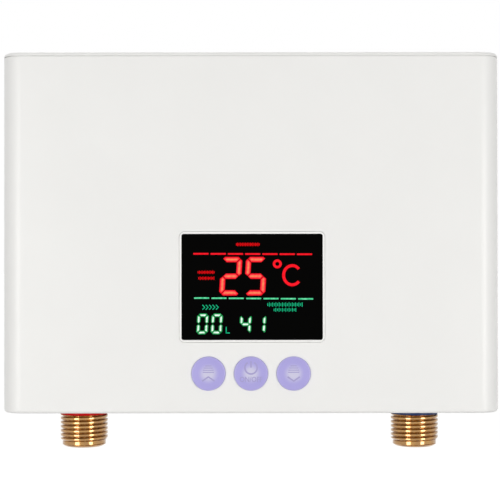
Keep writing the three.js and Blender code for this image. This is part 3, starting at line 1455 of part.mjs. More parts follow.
function addCase() {
  add('front_cover', makeFrontCover(), WHITE, 0.35);
  add('rear_plate', makeRearPlate(), WHITE, 0.5);
  add('housing_seal', makeSeal(), RUBBER, 0.8);
  add('display_lens', makeLens(), BLACK, 0.08);
  add('cable_grommet', makeGrommet(), RUBBER, 0.8);
  CASE_SCREW_PLACES.forEach(([x, z], n) => {
    add(`case_screw_${n + 1}`, caseScrew(x, z), STEEL, 0.35, 1);
  });
}

function addControls() {
  add('display_board', makeDisplayBoard(), BOARD_GREEN, 0.5);
  add('led_display', makeLedDisplay(), DARK_PLASTIC, 0.5);
  for (const [name, x] of Object.entries(BUTTON_PLACES)) {
    add(`button_${name}`, makeButton(x), LILAC, 0.4);
    add(`tact_switch_${name}`, makeSwitch(x), DARK_PLASTIC, 0.5);
    add(`switch_plunger_${name}`, makePlunger(x), PALE_GREY, 0.4);
  }
  DISPLAY_SCREW_PLACES.forEach(([x, z], n) => {
    add(`display_board_screw_${n + 1}`, smallScrew(BOARD_BACK_Y, -1, x, z), STEEL, 0.35, 1);
  });
}

function addElectrics() {
  add('control_board', makeControlBoard(), BOARD_GREEN, 0.5);
  add('relay', boardBlock(RELAY_SIZE, RELAY_X, RELAY_RISE), DARK_PLASTIC, 0.4);
  add('transformer', makeTransformer(), TAPE_YELLOW, 0.5);
  add('terminal_block', makeTerminalBlock(), NATURAL_NYLON, 0.5);
  add('triac', makeTriac(), DARK_PLASTIC, 0.4);
  add('triac_heat_sink', makeHeatSink(), ALUMINIUM, 0.4, 1);
  CONTROL_SCREW_PLACES.forEach(([x, z], n) => {
    add(`control_board_screw_${n + 1}`, smallScrew(CONTROL_FRONT_Y, 1, x, z), STEEL, 0.35, 1);
  });
  add('load_lead', swept(roundSection(WIRE_RADIUS), LOAD_LEAD_POINTS), LEAD_RED, 0.5);
  add('live_lead', swept(roundSection(WIRE_RADIUS), LIVE_LEAD_POINTS, 2 * WIRE_STEPS), LEAD_BROWN, 0.5);
  add('earth_wire', swept(roundSection(EARTH_WIRE_RADIUS), EARTH_WIRE_POINTS), EARTH_GREEN, 0.5);
  add('ribbon_cable', makeRibbon(), PALE_GREY, 0.6);
}

function addWaterPath() {
  for (const [name, x, color] of [['inlet', INLET_X, COLD_BLUE], ['outlet', OUTLET_X, HOT_RED]]) {
    add(`${name}_connector`, makeConnector(x), BRASS, 0.25, 1);
    add(`${name}_ring`, makeRing(x), color, 0.4);
    add(`${name}_backnut`, makeBacknut(x), BRASS, 0.3, 1);
  }
  add('connector_bracket', makeBracket(), STEEL, 0.4, 1);
  add('inlet_filter', makeFilter(), STEEL, 0.4, 1);
  add('flow_sensor_body', makeSensorBody(), DARK_PLASTIC, 0.5);
  add('flow_rotor', makeRotor(), WHITE, 0.4);
  add('rotor_shaft', makeShaft(), STEEL, 0.2, 1);
  add('hall_sensor', makeHallSensor(), DARK_PLASTIC, 0.5);
  add('inlet_pipe', makeInletPipe(), COPPER, 0.3, 1);
  add('outlet_pipe', makeOutletPipe(), COPPER, 0.3, 1);
  add('temperature_sensor', makeTemperatureSensor(), BRASS, 0.3, 1);
}

function addHeater() {
  add('heater_tank', makeTank(), COPPER, 0.3, 1);
  add('tank_cap_left', makeCap(-1), BRASS, 0.35, 1);
  add('tank_cap_right', makeRightCap(), BRASS, 0.35, 1);
  add('heating_element', makeElement(), ELEMENT_GREY, 0.4, 1);
  for (const [name, x] of Object.entries(STRAP_PLACES)) {
    add(`tank_strap_${name}`, makeStrap(x), STEEL, 0.4, 1);
    add(`strap_screw_${name}`, smallScrew(STRAP_FOOT_Y, 1, x, STRAP_SCREW_Z), STEEL, 0.35, 1);
  }
  add('thermal_cutout', makeCutout(), DARK_PLASTIC, 0.4);
  add('cutout_reset_pin', makeResetPin(), PIN_RED, 0.4);
}

addCase();
addControls();
addElectrics();
addWaterPath();
addHeater();

export default heater;
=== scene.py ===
"""Tankless water heater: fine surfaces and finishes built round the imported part.

Lengths are in metres. Named angles are in degrees, but for QUARTER_TURN and the camera's.
The front faces -Y, and Z is up.
"""
import json
import math

import bmesh
import bpy
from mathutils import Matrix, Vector
from mathutils.geometry import interpolate_bezier

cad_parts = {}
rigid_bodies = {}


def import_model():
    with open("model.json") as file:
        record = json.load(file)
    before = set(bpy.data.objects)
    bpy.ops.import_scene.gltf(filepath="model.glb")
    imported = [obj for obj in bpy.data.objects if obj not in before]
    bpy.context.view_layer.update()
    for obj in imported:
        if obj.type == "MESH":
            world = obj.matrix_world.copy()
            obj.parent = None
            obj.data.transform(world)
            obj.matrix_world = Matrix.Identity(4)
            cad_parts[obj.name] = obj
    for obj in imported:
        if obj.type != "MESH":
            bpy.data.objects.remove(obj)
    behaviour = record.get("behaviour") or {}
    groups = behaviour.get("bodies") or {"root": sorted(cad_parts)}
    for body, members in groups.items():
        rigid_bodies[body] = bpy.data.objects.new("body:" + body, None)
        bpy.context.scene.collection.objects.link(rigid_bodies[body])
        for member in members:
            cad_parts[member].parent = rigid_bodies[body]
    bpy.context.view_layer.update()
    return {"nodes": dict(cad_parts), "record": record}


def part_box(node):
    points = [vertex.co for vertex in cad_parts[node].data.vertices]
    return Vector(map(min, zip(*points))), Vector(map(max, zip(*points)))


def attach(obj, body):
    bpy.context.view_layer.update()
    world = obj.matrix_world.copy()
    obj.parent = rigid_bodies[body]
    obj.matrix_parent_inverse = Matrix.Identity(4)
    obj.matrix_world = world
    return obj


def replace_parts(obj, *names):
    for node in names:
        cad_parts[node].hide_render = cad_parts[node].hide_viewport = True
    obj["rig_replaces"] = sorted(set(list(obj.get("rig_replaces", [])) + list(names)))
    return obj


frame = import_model()
scene = bpy.context.scene
NODES = frame["nodes"]
SLOT_OF = {part["node"]: part["material_slot"] for part in frame["record"]["subparts"]}
MAIN_BODY = "heater_body"

# Sizes taken from the frame
COVER_LOW, COVER_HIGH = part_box("front_cover")
PLATE_LOW, PLATE_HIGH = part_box("rear_plate")
LENS_LOW, LENS_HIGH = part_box("display_lens")
HALF_WIDTH = COVER_HIGH.x
HALF_HEIGHT = COVER_HIGH.z
FRONT_Y = COVER_LOW.y
COVER_BACK_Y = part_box("housing_seal")[0].y
PLATE_FRONT_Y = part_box("housing_seal")[1].y
SCREEN_X = (LENS_LOW.x + LENS_HIGH.x) / 2
SCREEN_Z = (LENS_LOW.z + LENS_HIGH.z) / 2

# Fineness of the meshes
ARC_STEPS = 16
FILLET_STEPS = 6
LIP_STEPS = 4
WINDOW_STEPS = 10
ROUND_SIDES = 64
CREASE = 32

# How far a cut runs past a face, and the gap between pieces that fit together
OVERRUN = 0.004
FIT_GAP = 0.0003

QUARTER_TURN = math.pi / 2


# Mesh helpers

def polar(radius, angle, centre=(0.0, 0.0)):
    """The point at a radius from a centre, and at an angle in radians."""
    return centre[0] + radius * math.cos(angle), centre[1] + radius * math.sin(angle)


def arc(radius, start, end, steps, centre=(0.0, 0.0)):
    """Points of an arc from one angle to another."""
    angles = [math.radians(start + (end - start) * step / steps) for step in range(steps + 1)]
    return [polar(radius, angle, centre) for angle in angles]


def circle(radius, centre=(0.0, 0.0), sides=ROUND_SIDES):
    return arc(radius, 0, 360 - 360 / sides, sides - 1, centre)


def rounded_rect(width, height, radius, steps=WINDOW_STEPS, centre=(0.0, 0.0)):
    """An outline with round corners, counter-clockwise."""
    across, up = width / 2 - radius, height / 2 - radius
    points = []
    for start, way, rise in ((0, 1, 1), (90, -1, 1), (180, -1, -1), (270, 1, -1)):
        points += arc(radius, start, start + 90, steps, (centre[0] + way * across, centre[1] + rise * up))
    return points


def upright(outline, y):
    """An outline of (x, z) points stood up at a depth."""
    return [(x, y, z) for x, z in outline]


def level(outline, z):
    """An outline of (x, y) points laid flat at a height."""
    return [(x, y, z) for x, y in outline]


def add_loft(mesh, rings, closed=False):
    """Joins rings of points into one skin, with flat ends unless the last ring meets the first."""
    rows = [[mesh.verts.new(point) for point in ring] for ring in rings]
    count = len(rows[0])
    pairs = list(zip(rows, rows[1:]))
    if closed:
        pairs.append((rows[-1], rows[0]))
    for near, far in pairs:
        for side in range(count):
            after = (side + 1) % count
            mesh.faces.new((near[side], near[after], far[after], far[side]))
    if not closed:
        mesh.faces.new(list(reversed(rows[0])))
        mesh.faces.new(rows[-1])
    return mesh


def facing_out(mesh):
    bmesh.ops.recalc_face_normals(mesh, faces=mesh.faces)
    return mesh


def lofted(rings, closed=False):
    return facing_out(add_loft(bmesh.new(), rings, closed))


def turned(profile, axis, centre, sides=ROUND_SIDES, closed=False):
    """Turns a profile of (radius, place) about an upright axis, "z", or one along the depth, "y"."""
    lay = level if axis == "z" else upright
    return lofted([lay(circle(radius, centre, sides), place) for radius, place in profile], closed)


def prism(plan, low_z, high_z):
    return lofted([level(plan, z) for z in (low_z, high_z)])


def block(low, high):
    """A plain block between two corners, used only to cut or to join."""
    plan = [(low[0], low[1]), (high[0], low[1]), (high[0], high[1]), (low[0], high[1])]
    return prism(plan, low[2], high[2])


def rod(radius, from_y, to_y, x, z, sides=ROUND_SIDES // 2):
    return turned([(radius, from_y), (radius, to_y)], "y", (x, z), sides)


def gathered(meshes):
    """One mesh from several that don't touch."""
    whole = bmesh.new()
    for mesh in meshes:
        places = {vertex: whole.verts.new(vertex.co) for vertex in mesh.verts}
        for face in mesh.faces:
            whole.faces.new([places[vertex] for vertex in face.verts])
        mesh.free()
    return whole


def shade_smooth(data, crease):
    """Smooth shading but for edges sharper than crease."""
    data.polygons.foreach_set("use_smooth", [True] * len(data.polygons))
    data.set_sharp_from_angle(angle=math.radians(crease))


def object_from(mesh, name, crease=CREASE):
    """A new object in the scene."""
    data = bpy.data.meshes.new(name)
    mesh.to_mesh(data)
    mesh.free()
    shade_smooth(data, crease)
    thing = bpy.data.objects.new(name, data)
    scene.collection.objects.link(thing)
    return thing


def settled_mesh(thing):
    """A plain mesh of thing with its modifiers applied."""
    seen = bpy.context.evaluated_depsgraph_get()
    return bpy.data.meshes.new_from_object(thing.evaluated_get(seen))


def carve(thing, tools, operation="DIFFERENCE", crease=CREASE):
    """Cuts or joins each tool, a mesh or a helper object, and leaves thing with one plain mesh."""
    helpers = [tool if isinstance(tool, bpy.types.Object) else object_from(tool, "tool") for tool in tools]
    for helper in helpers:
        change = thing.modifiers.new("carve", "BOOLEAN")
        change.operation = operation
        change.solver = "EXACT"
        change.object = helper
    data = settled_mesh(thing)
    thing.modifiers.clear()
    old = thing.data
    thing.data = data
    for spent in [old] + [helper.data for helper in helpers]:
        bpy.data.meshes.remove(spent)
    data.name = thing.name
    shade_smooth(data, crease)
    return thing


def dress(thing, slot, *replaced, finish=None, body=MAIN_BODY):
    """Gives a finished piece the material of its finish, or else of its slot, and its body and the nodes that
    it stands for.
    """
    thing.data.materials.clear()
    thing.data.materials.append(MATERIALS[finish or slot])
    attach(thing, body)
    if replaced:
        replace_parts(thing, *replaced)


# Places read from the frame

def middle(node):
    low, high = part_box(node)
    return (low + high) / 2


def reach(node, axis):
    """Half of a node's size along an axis, 0 for X to 2 for Z."""
    low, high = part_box(node)
    return (high[axis] - low[axis]) / 2


def front_place(node):
    """The (x, z) place of a node's middle, seen from the front."""
    spot = middle(node)
    return spot.x, spot.z


def corner_places(node, inset):
    """The four (x, z) places at an inset from a flat node's corners, upper left first."""
    low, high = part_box(node)
    return [(x, z) for z in (high.z - inset, low.z + inset) for x in (low.x + inset, high.x - inset)]


# Materials

TEXTURE_RANGE = (0.3, 0.7)
COLOUR_RANGE = (0.35, 0.65)
DRIFT_WAVES = 35.0
GLOSS_SHARES = (0.85, 1.15)
GRAIN_STRENGTH = 0.5
SHADE_SHARE = 0.94
FINE_DETAIL = 2.0
DRIFT_DETAIL = 3.0
EVEN = (1.0, 1.0, 1.0)


def fill(tree, node, sockets):
    """Links each socket to another node's output, or sets it to a plain value."""
    for name, value in sockets.items():
        if isinstance(value, bpy.types.NodeSocket):
            tree.links.new(value, node.inputs[name])
        else:
            node.inputs[name].default_value = value


def add_node(tree, kind, sockets=None, **settings):
    node = tree.nodes.new(kind)
    for name, value in settings.items():
        setattr(node, name, value)
    fill(tree, node, sockets or {})
    return node


def add_math(tree, operation, *values):
    node = add_node(tree, "ShaderNodeMath", dict(enumerate(values)), operation=operation)
    return node.outputs["Value"]


def own_place(tree):
    """Coordinates in the piece's own frame."""
    return add_node(tree, "ShaderNodeTexCoord").outputs["Object"]


def mapped(tree, vector, **sockets):
    return add_node(tree, "ShaderNodeMapping", {"Vector": vector, **sockets}).outputs["Vector"]


def new_material(name):
    material = bpy.data.materials.new(name)
    material.use_nodes = True
    return material, material.node_tree, material.node_tree.nodes["Principled BSDF"]


def noise(tree, scale, detail=DRIFT_DETAIL, stretch=EVEN):
    """A noise texture in the piece's own coordinates. scale counts waves in a metre."""
    place = mapped(tree, own_place(tree), Scale=stretch)
    texture = add_node(tree, "ShaderNodeTexNoise", {"Vector": place, "Scale": scale, "Detail": detail})
    return texture.outputs["Fac"]


def ramped(tree, factor, stops, easing="LINEAR"):
    """Colours along a texture, from (place, colour) stops."""
    ramp = add_node(tree, "ShaderNodeValToRGB", {"Fac": factor})
    ramp.color_ramp.interpolation = easing
    elements = ramp.color_ramp.elements
    while len(elements) < len(stops):
        elements.new(0.5)
    for element, (place, colour) in zip(elements, stops):
        element.position = place
        element.color = (*colour, 1.0)
    return ramp.outputs["Color"]


def spread(tree, factor, low, high, source=TEXTURE_RANGE):
    """A range of a texture turned into a range of plain values."""
    span = add_node(tree, "ShaderNodeMapRange", {
        "Value": factor, "From Min": source[0], "From Max": source[1], "To Min": low, "To Max": high,
    })
    return span.outputs["Result"]


def bump(tree, height, strength, distance):
    sockets = {"Height": height, "Strength": strength, "Distance": distance}
    return add_node(tree, "ShaderNodeBump", sockets).outputs["Normal"]


def tinted(colour, share):
    return tuple(min(1.0, value * share) for value in colour)


def finish_material(
    name, colour, roughness, grain, relief, shade_share=SHADE_SHARE, metallic=0.0, stretch=EVEN, specular=0.5,
):
    """A moulded or metal surface: slow colour drift, fine grain in its gloss, and grain relief."""
    material, tree, shader = new_material(name)
    fine = noise(tree, grain, FINE_DETAIL, stretch)
    stops = list(zip(COLOUR_RANGE, [tinted(colour, share) for share in (shade_share, 2 - shade_share)]))
    fill(tree, shader, {
        "Base Color": ramped(tree, noise(tree, DRIFT_WAVES), stops),
        "Roughness": spread(tree, fine, *(roughness * share for share in GLOSS_SHARES)),
        "Normal": bump(tree, fine, GRAIN_STRENGTH, relief),
        "Metallic": metallic,
        "Specular IOR Level": specular,
    })
    return material


# Colour, roughness, grain waves in a metre, grain relief, shade share, metallic, stretch, specular
FINISHES = {
    "cover_white": ((0.845, 0.845, 0.835), 0.38, 2600, 0.000003, 0.995),
    "plate_white": ((0.80, 0.80, 0.785), 0.5, 1800, 0.00001, 0.99),
    "rubber_dark": ((0.03, 0.03, 0.033), 0.7, 1500, 0.00002),
    "lens_black": ((0.0006, 0.0006, 0.0005), 0.12, 900, 0.000001, SHADE_SHARE, 0.0, EVEN, 0.018),
    "steel": ((0.56, 0.57, 0.58), 0.3, 900, 0.00001, 0.95, 1.0, (1.0, 1.0, 12.0)),
    "copper": ((0.62, 0.27, 0.14), 0.3, 700, 0.00001, 0.86, 1.0),
    "aluminium": ((0.7, 0.71, 0.72), 0.35, 900, 0.00001, 0.96, 1.0, (12.0, 1.0, 1.0)),
    "nylon_natural": ((0.76, 0.71, 0.6), 0.5, 1500, 0.00001, 0.97),
    "plastic_dark": ((0.022, 0.024, 0.027), 0.45, 1500, 0.00001, 0.9),
    "plastic_grey": ((0.55, 0.56, 0.55), 0.45, 1500, 0.00001, 0.97),
    "bobbin_yellow": ((0.62, 0.42, 0.05), 0.4, 1200, 0.00001),
    "wire_red": ((0.36, 0.02, 0.015), 0.4, 1500, 0.00001, 0.9),
    "wire_brown": ((0.14, 0.045, 0.018), 0.4, 1500, 0.00001, 0.9),
    "wire_green": ((0.32, 0.4, 0.03), 0.4, 1500, 0.00001, 0.9),
    "ring_blue": ((0.012, 0.035, 0.13), 0.4, 1500, 0.000006, 0.93, 0.0, EVEN, 0.2),
    "ring_red": ((0.58, 0.002, 0.005), 0.4, 1500, 0.000006, 0.93, 0.0, EVEN, 0.12),
    "pin_red": ((0.4, 0.015, 0.015), 0.4, 1500, 0.00001, 0.93),
    "white_border": ((0.93, 0.93, 0.92), 0.3, 1500, 0.000002, 0.995),
    "sign_lilac": ((0.365, 0.335, 0.62), 0.45, 2500, 0.000003),
}
MATERIALS = {name: finish_material(name, *values) for name, values in FINISHES.items()}

BOARD_FINISH = ((0.016, 0.13, 0.05), 0.35, 1200, 0.00001, 0.85)
TRACE_COLOUR = (0.03, 0.2, 0.08, 1.0)
TRACE_PITCH = 0.0031
TRACE_LENGTH = 0.019
TRACE_WIDTH = 0.00035
PAD_COLOUR = (0.6, 0.6, 0.58, 1.0)
PAD_PITCH = 0.0042
PAD_SHARE = 0.15
PAD_SCATTER = 0.6


def trace_lines(tree, flat, turn):
    """A mask of long straight lines across a board, along X or, turned, along Z."""
    bricks = add_node(tree, "ShaderNodeTexBrick", {
        "Vector": mapped(tree, flat, Rotation=(0.0, 0.0, turn)), "Scale": 1.0,
        "Brick Width": TRACE_LENGTH, "Row Height": TRACE_PITCH, "Mortar Size": TRACE_WIDTH / 2,
    })
    return bricks.outputs["Fac"]


def mixed(tree, factor, first, second):
    """Two colours mixed by a mask. Its sockets are numbered, as their names repeat."""
    mix = add_node(tree, "ShaderNodeMix", data_type="RGBA")
    fill(tree, mix, {0: factor, 6: first, 7: second})
    return mix.outputs[2]


def board_material():
    """Green lacquer with paler traces and tinned pads."""
    material = finish_material("board_green", *BOARD_FINISH)
    tree = material.node_tree
    shader = tree.nodes["Principled BSDF"]
    lacquer = shader.inputs["Base Color"].links[0].from_socket
    flat = mapped(tree, own_place(tree), Rotation=(QUARTER_TURN, 0.0, 0.0))
    lines = add_math(tree, "MAXIMUM", *(trace_lines(tree, flat, turn) for turn in (0.0, QUARTER_TURN)))
    dots = add_node(tree, "ShaderNodeTexVoronoi", {
        "Vector": flat, "Scale": 1 / PAD_PITCH, "Randomness": PAD_SCATTER,
    })
    pad = add_math(tree, "LESS_THAN", dots.outputs["Distance"], PAD_SHARE)
    traced = mixed(tree, lines, lacquer, TRACE_COLOUR)
    fill(tree, shader, {"Base Color": mixed(tree, pad, traced, PAD_COLOUR), "Metallic": pad})
    return material


MATERIALS["board_green"] = board_material()

# Case front

BUTTONS = ["button_up", "button_power", "button_down"]
CONNECTORS = ["inlet_connector", "outlet_connector"]
CASE_SCREWS = [f"case_screw_{number}" for number in range(1, 5)]
PIN_CORNERS = (1, 2)
SCREW_CORNERS = (0, 3)
WALL = 0.0025
EDGE_RADIUS = 0.009
REAR_RADIUS = 0.002
FILLET = 0.0015
TOP_BAND = 0.0013
GROOVE_WIDTH = 0.0006
GROOVE_DEPTH = 0.0008
GROOVE_FLANK_SHARE = 0.25
BUTTON_RADIUS = 0.00725
BUTTON_GAP = 0.00003
BUTTON_LIP = 0.00004
BOSS_RADIUS = 0.0042
CASE_SCREW_RADIUS = 0.0019
SMALL_SCREW_RADIUS = 0.0013
BOARD_BOSS_RADIUS = 0.0035
BOARD_BOSS_INSET = 0.004
BOARD_BOSS_DEPTH = 0.007
PIN_RADIUS = 0.0012
PIN_HEIGHT = 0.0014
SLOT_REACH = 0.0098
INNER_LOW_Z = WALL - HALF_HEIGHT
INNER_FRONT_Y = FRONT_Y + WALL
BOTTOM_ROWS = arc(FILLET, 270, 180, FILLET_STEPS, (FILLET, FILLET - HALF_HEIGHT))
TOP_ROWS = arc(FILLET, 180, 90, FILLET_STEPS, (FILLET, HALF_HEIGHT - FILLET))


def case_plan(inset, back_y, rear_radius=0.0):
    """The case in plan at an inset from its full width: wide radii in front, rear_radius at the wall."""
    side = HALF_WIDTH - inset
    front = FRONT_Y + inset
    radius = EDGE_RADIUS - inset
    points = arc(radius, -90, 0, ARC_STEPS, (side - radius, front + radius))
    if rear_radius:
        points += arc(rear_radius, 0, 90, FILLET_STEPS, (side - rear_radius, back_y - rear_radius))
        points += arc(rear_radius, 90, 180, FILLET_STEPS, (rear_radius - side, back_y - rear_radius))
    else:
        points += [(side, back_y), (-side, back_y)]
    return points + arc(radius, 180, 270, ARC_STEPS, (radius - side, front + radius))


def case_skin():
    """The case's outside from bottom to top, with the groove under the lid."""
    groove = HALF_HEIGHT - TOP_BAND
    flank = GROOVE_WIDTH * GROOVE_FLANK_SHARE
    groove_rows = [
        (0.0, groove - GROOVE_WIDTH), (GROOVE_DEPTH, groove - GROOVE_WIDTH + flank),
        (GROOVE_DEPTH, groove - flank), (0.0, groove),
    ]
    rows = BOTTOM_ROWS + groove_rows + TOP_ROWS
    return lofted([level(case_plan(inset, COVER_BACK_Y), z) for inset, z in rows])


def lip_steps(lip):
    """(offset, depth) points of a softly rounded mouth, from the face inward."""
    return [(lip - u, lip - v) for v, u in arc(lip, 0, 90, LIP_STEPS)]


def button_cut(node):
    """A button's hole, with a softly rounded mouth."""
    radius = BUTTON_RADIUS + BUTTON_GAP
    profile = [(radius + BUTTON_LIP, FRONT_Y - OVERRUN)]
    profile += [(radius + offset, FRONT_Y + depth) for offset, depth in lip_steps(BUTTON_LIP)]
    profile.append((radius, INNER_FRONT_Y + OVERRUN))
    return turned(profile, "y", front_place(node))


def slot_cut(node):
    """The bottom slot that lets the cover slide forward off a connector."""
    centre = middle(node)
    outline = arc(SLOT_REACH, 180, 360, ROUND_SIDES // 2, (centre.x, centre.y))
    outline += [(centre.x + SLOT_REACH, OVERRUN), (centre.x - SLOT_REACH, OVERRUN)]
    return prism(outline, -HALF_HEIGHT - OVERRUN, INNER_LOW_Z + OVERRUN / 2)


def cover_holes(corners):
    """The connectors' slots, the buttons' holes and the bores for the screws."""
    holes = [slot_cut(node) for node in CONNECTORS] + [button_cut(node) for node in BUTTONS]
    radius = CASE_SCREW_RADIUS + FIT_GAP
    holes += [rod(radius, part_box(node)[0].y - FIT_GAP, OVERRUN, *front_place(node)) for node in CASE_SCREWS]
    front, back = [corner.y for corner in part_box("display_board")]
    radius = SMALL_SCREW_RADIUS + FIT_GAP
    span = (front - BOARD_BOSS_DEPTH, back + OVERRUN)
    return holes + [rod(radius, *span, *corners[index]) for index in SCREW_CORNERS]


def make_front_cover():
    cover = object_from(case_skin(), "front_cover_shell")
    carve(cover, [prism(case_plan(WALL, OVERRUN), INNER_LOW_Z, -INNER_LOW_Z)])
    root = INNER_FRONT_Y - FIT_GAP
    board_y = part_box("display_board")[0].y
    corners = corner_places("display_board", BOARD_BOSS_INSET)
    posts = [rod(BOSS_RADIUS, root, PLATE_FRONT_Y - FIT_GAP, *front_place(node)) for node in CASE_SCREWS]
    posts += [rod(BOARD_BOSS_RADIUS, root, board_y, *corner) for corner in corners]
    span = (board_y - FIT_GAP, board_y + PIN_HEIGHT * 2)
    pins = [rod(PIN_RADIUS, *span, *corners[index]) for index in PIN_CORNERS]
    carve(cover, [gathered(posts), gathered(pins)], "UNION")
    carve(cover, [lens_cut(), gathered(cover_holes(corners))])
    dress(cover, "cover_white", "front_cover")


# Window

LENS_GAP = 0.0001
LENS_RADIUS = 0.0022
LENS_LEDGE = 0.002
LENS_BORDER = 0.0009
SCREEN_RADIUS = 0.0009
LIP = 0.0002
FRAME_EDGE = 0.0002
WINDOW_SETBACK = 0.00008
WINDOW_GAP = 0.00002


def screen_ring(shrink, radius, y):
    """The lens outline drawn in by shrink on every side, at a depth."""
    size = [2 * (reach("display_lens", axis) - shrink) for axis in (0, 2)]
    return upright(rounded_rect(*size, radius, WINDOW_STEPS, (SCREEN_X, SCREEN_Z)), y)


def lens_cut():
    """The pocket that the lens lies in, and the opening behind it."""
    mouth = [(LIP, -OVERRUN), *lip_steps(LIP), (0.0, LENS_HIGH.y - FRONT_Y)]
    rings = []
    for offset, depth in mouth:
        grow = LENS_GAP + offset
        rings.append(screen_ring(-grow, LENS_RADIUS + grow, FRONT_Y + depth))
    for y in (LENS_HIGH.y, INNER_FRONT_Y + OVERRUN):
        rings.append(screen_ring(LENS_LEDGE, LENS_RADIUS, y))
    return lofted(rings)


def make_lens_frame():
    """The pale border of the lens, with softened edges."""
    rings = [screen_ring(0.0, LENS_RADIUS, LENS_HIGH.y)]
    for shrink, depth in arc(FRAME_EDGE, 180, 270, LIP_STEPS, (FRAME_EDGE, FRAME_EDGE)):
        rings.append(screen_ring(shrink, LENS_RADIUS - shrink, FRONT_Y + depth))
    for shrink, depth in arc(FRAME_EDGE, 270, 360, LIP_STEPS, (LENS_BORDER - FRAME_EDGE, FRAME_EDGE)):
        rings.append(screen_ring(shrink, SCREEN_RADIUS + LENS_BORDER - shrink, FRONT_Y + depth))
    rings.append(screen_ring(LENS_BORDER, SCREEN_RADIUS, LENS_HIGH.y))
    border = object_from(lofted(rings, closed=True), "display_lens_frame")
    dress(border, "lens_black", "display_lens", finish="white_border")


def make_window():
    """The dark pane inside the border."""
    shrink = LENS_BORDER + WINDOW_GAP
    soft = WINDOW_SETBACK
    rings = [screen_ring(shrink, SCREEN_RADIUS, LENS_HIGH.y)]
    for inset, depth in arc(soft, 180, 270, LIP_STEPS, (soft, soft)):
        rings.append(screen_ring(shrink + inset, SCREEN_RADIUS - inset, FRONT_Y + soft + depth))
    dress(object_from(lofted(rings), "display_window"), "lens_black", "display_lens")


# Lit marks on the pane. Each outline is a list of (x, z) points in the part's frame.

MARK_PROUD = 0.00004
MARK_LAYER = WINDOW_GAP / 2
CORNER_SHARE = 0.33
POINT_SHARE = 0.8
SEGMENTS_OF = {"0": "abcdef", "1": "bc", "2": "abged", "4": "fgbc", "5": "afgcd"}
BIG_DIGIT = {"width": 0.0090, "height": 0.0164, "stroke": 0.00228, "slant": 0.06, "gap": 0.00014}
SMALL_DIGIT = {"width": 0.0044, "height": 0.0083, "stroke": 0.0010, "slant": 0.065, "gap": 0.0004}
SET_DIGIT = {"width": 0.0045, "height": 0.0075, "stroke": 0.0010, "slant": 0.065, "gap": 0.0003}
BIG_FIGURES = [("2", (-0.01353, -0.02675), BIG_DIGIT), ("5", (-0.0030, -0.02675), BIG_DIGIT)]
SMALL_FIGURES = [
    ("0", (-0.02300, -0.0429), SMALL_DIGIT), ("0", (-0.01697, -0.0429), SMALL_DIGIT),
    ("4", (-0.00483, -0.0427), SET_DIGIT), ("1", (0.00136, -0.0427), SET_DIGIT),
]
PINK_INSET = 0.00045
ORANGE_INSET = 0.00085
GREEN_RIM_INSET = -0.00027
WHITE_INSET = 0.0001575
DEGREE_PLACE = (0.01120, -0.01334)
DEGREE_RADII = (0.00192, 0.00085)
DEGREE_STEPS = 8
LETTER_PLACE = (0.01752, -0.01815)
LETTER_SIZE = (0.00365, 0.00408)
LETTER_STROKE = 0.00125
LETTER_ANGLES = (40, 320)
LETTER_STEPS = 36
# Bars: the first's and the last's x, the first's z, the drop to the last, their count, length and height
RED_BARS = (-0.02118, 0.02273, -0.00903, 0.00025, 7, 0.0065, 0.00072)
GREEN_BARS = (-0.0209, 0.0232, -0.0278, 0.0004, 7, 0.0064, 0.00064)
BAR_ROUND_SHARE = 0.3
BAR_STEPS = 4
# Labels: middle, width, height and count of ticks
RED_LABELS = [
    ((-0.0013, -0.00508), 0.0096, 0.0015, 19), ((-0.0190, -0.01687), 0.0068, 0.0014, 13),
    ((-0.0189, -0.0194), 0.0064, 0.0014, 12),
]
GREEN_LABELS = [((0.0144, -0.0306), 0.0146, 0.0018, 22), ((0.0144, -0.0328), 0.0092, 0.0016, 14)]
LABEL_STROKE = 0.00032
TICK_SHARES = (0.32, 0.5)
FLOW_SIGN = ((-0.0172, -0.0317), 0.0072, 0.0020, 5)
FLOW_STROKE = 0.0004
FLOW_LEAN_SHARE = 0.25
UNIT_PLACE = (-0.0105, -0.0426)
UNIT_SIZE = (0.0015, 0.0026)
UNIT_STROKE = 0.0004
MARK_BASE = (0.004, 0.004, 0.004, 1.0)
MARK_WAVES = 900.0
MARK_SHARES = (0.92, 1.08)
# Edge colour, core colour and strength
LIGHTS = {
    "lit_red": ((1.0, 0.004, 0.012), (1.0, 0.010, 0.024), 1.0),
    "lit_dim_red": ((0.9, 0.001, 0.003), (1.0, 0.002, 0.006), 0.95),
    "lit_pink": ((1.0, 0.055, 0.075), (1.0, 0.10, 0.10), 1.0),
    "lit_orange": ((1.0, 0.2, 0.09), (1.0, 0.3, 0.1), 1.0),
    "lit_green": ((0.05, 0.72, 0.3), (0.2, 0.95, 0.5), 0.85),
    "lit_dim_green": ((0.0, 0.5, 0.22), (0.015, 0.66, 0.3), 0.85),
    "lit_deep_green": ((0.01, 0.30, 0.07), (0.03, 0.5, 0.14), 0.9),
    "lit_white": ((0.65, 1.0, 0.78), (0.95, 1.0, 0.97), 1.0),
}


def lit_material(name, edge, core, strength):
    """A lit mark: its light drifts a little between two colours and in strength."""
    material, tree, shader = new_material(name)
    drift = noise(tree, MARK_WAVES)
    fill(tree, shader, {
        "Emission Color": ramped(tree, drift, list(zip(COLOUR_RANGE, (edge, core)))),
        "Emission Strength": spread(tree, drift, *(strength * share for share in MARK_SHARES)),
        "Base Color": MARK_BASE,
        "Specular IOR Level": 0.0,
    })
    return material


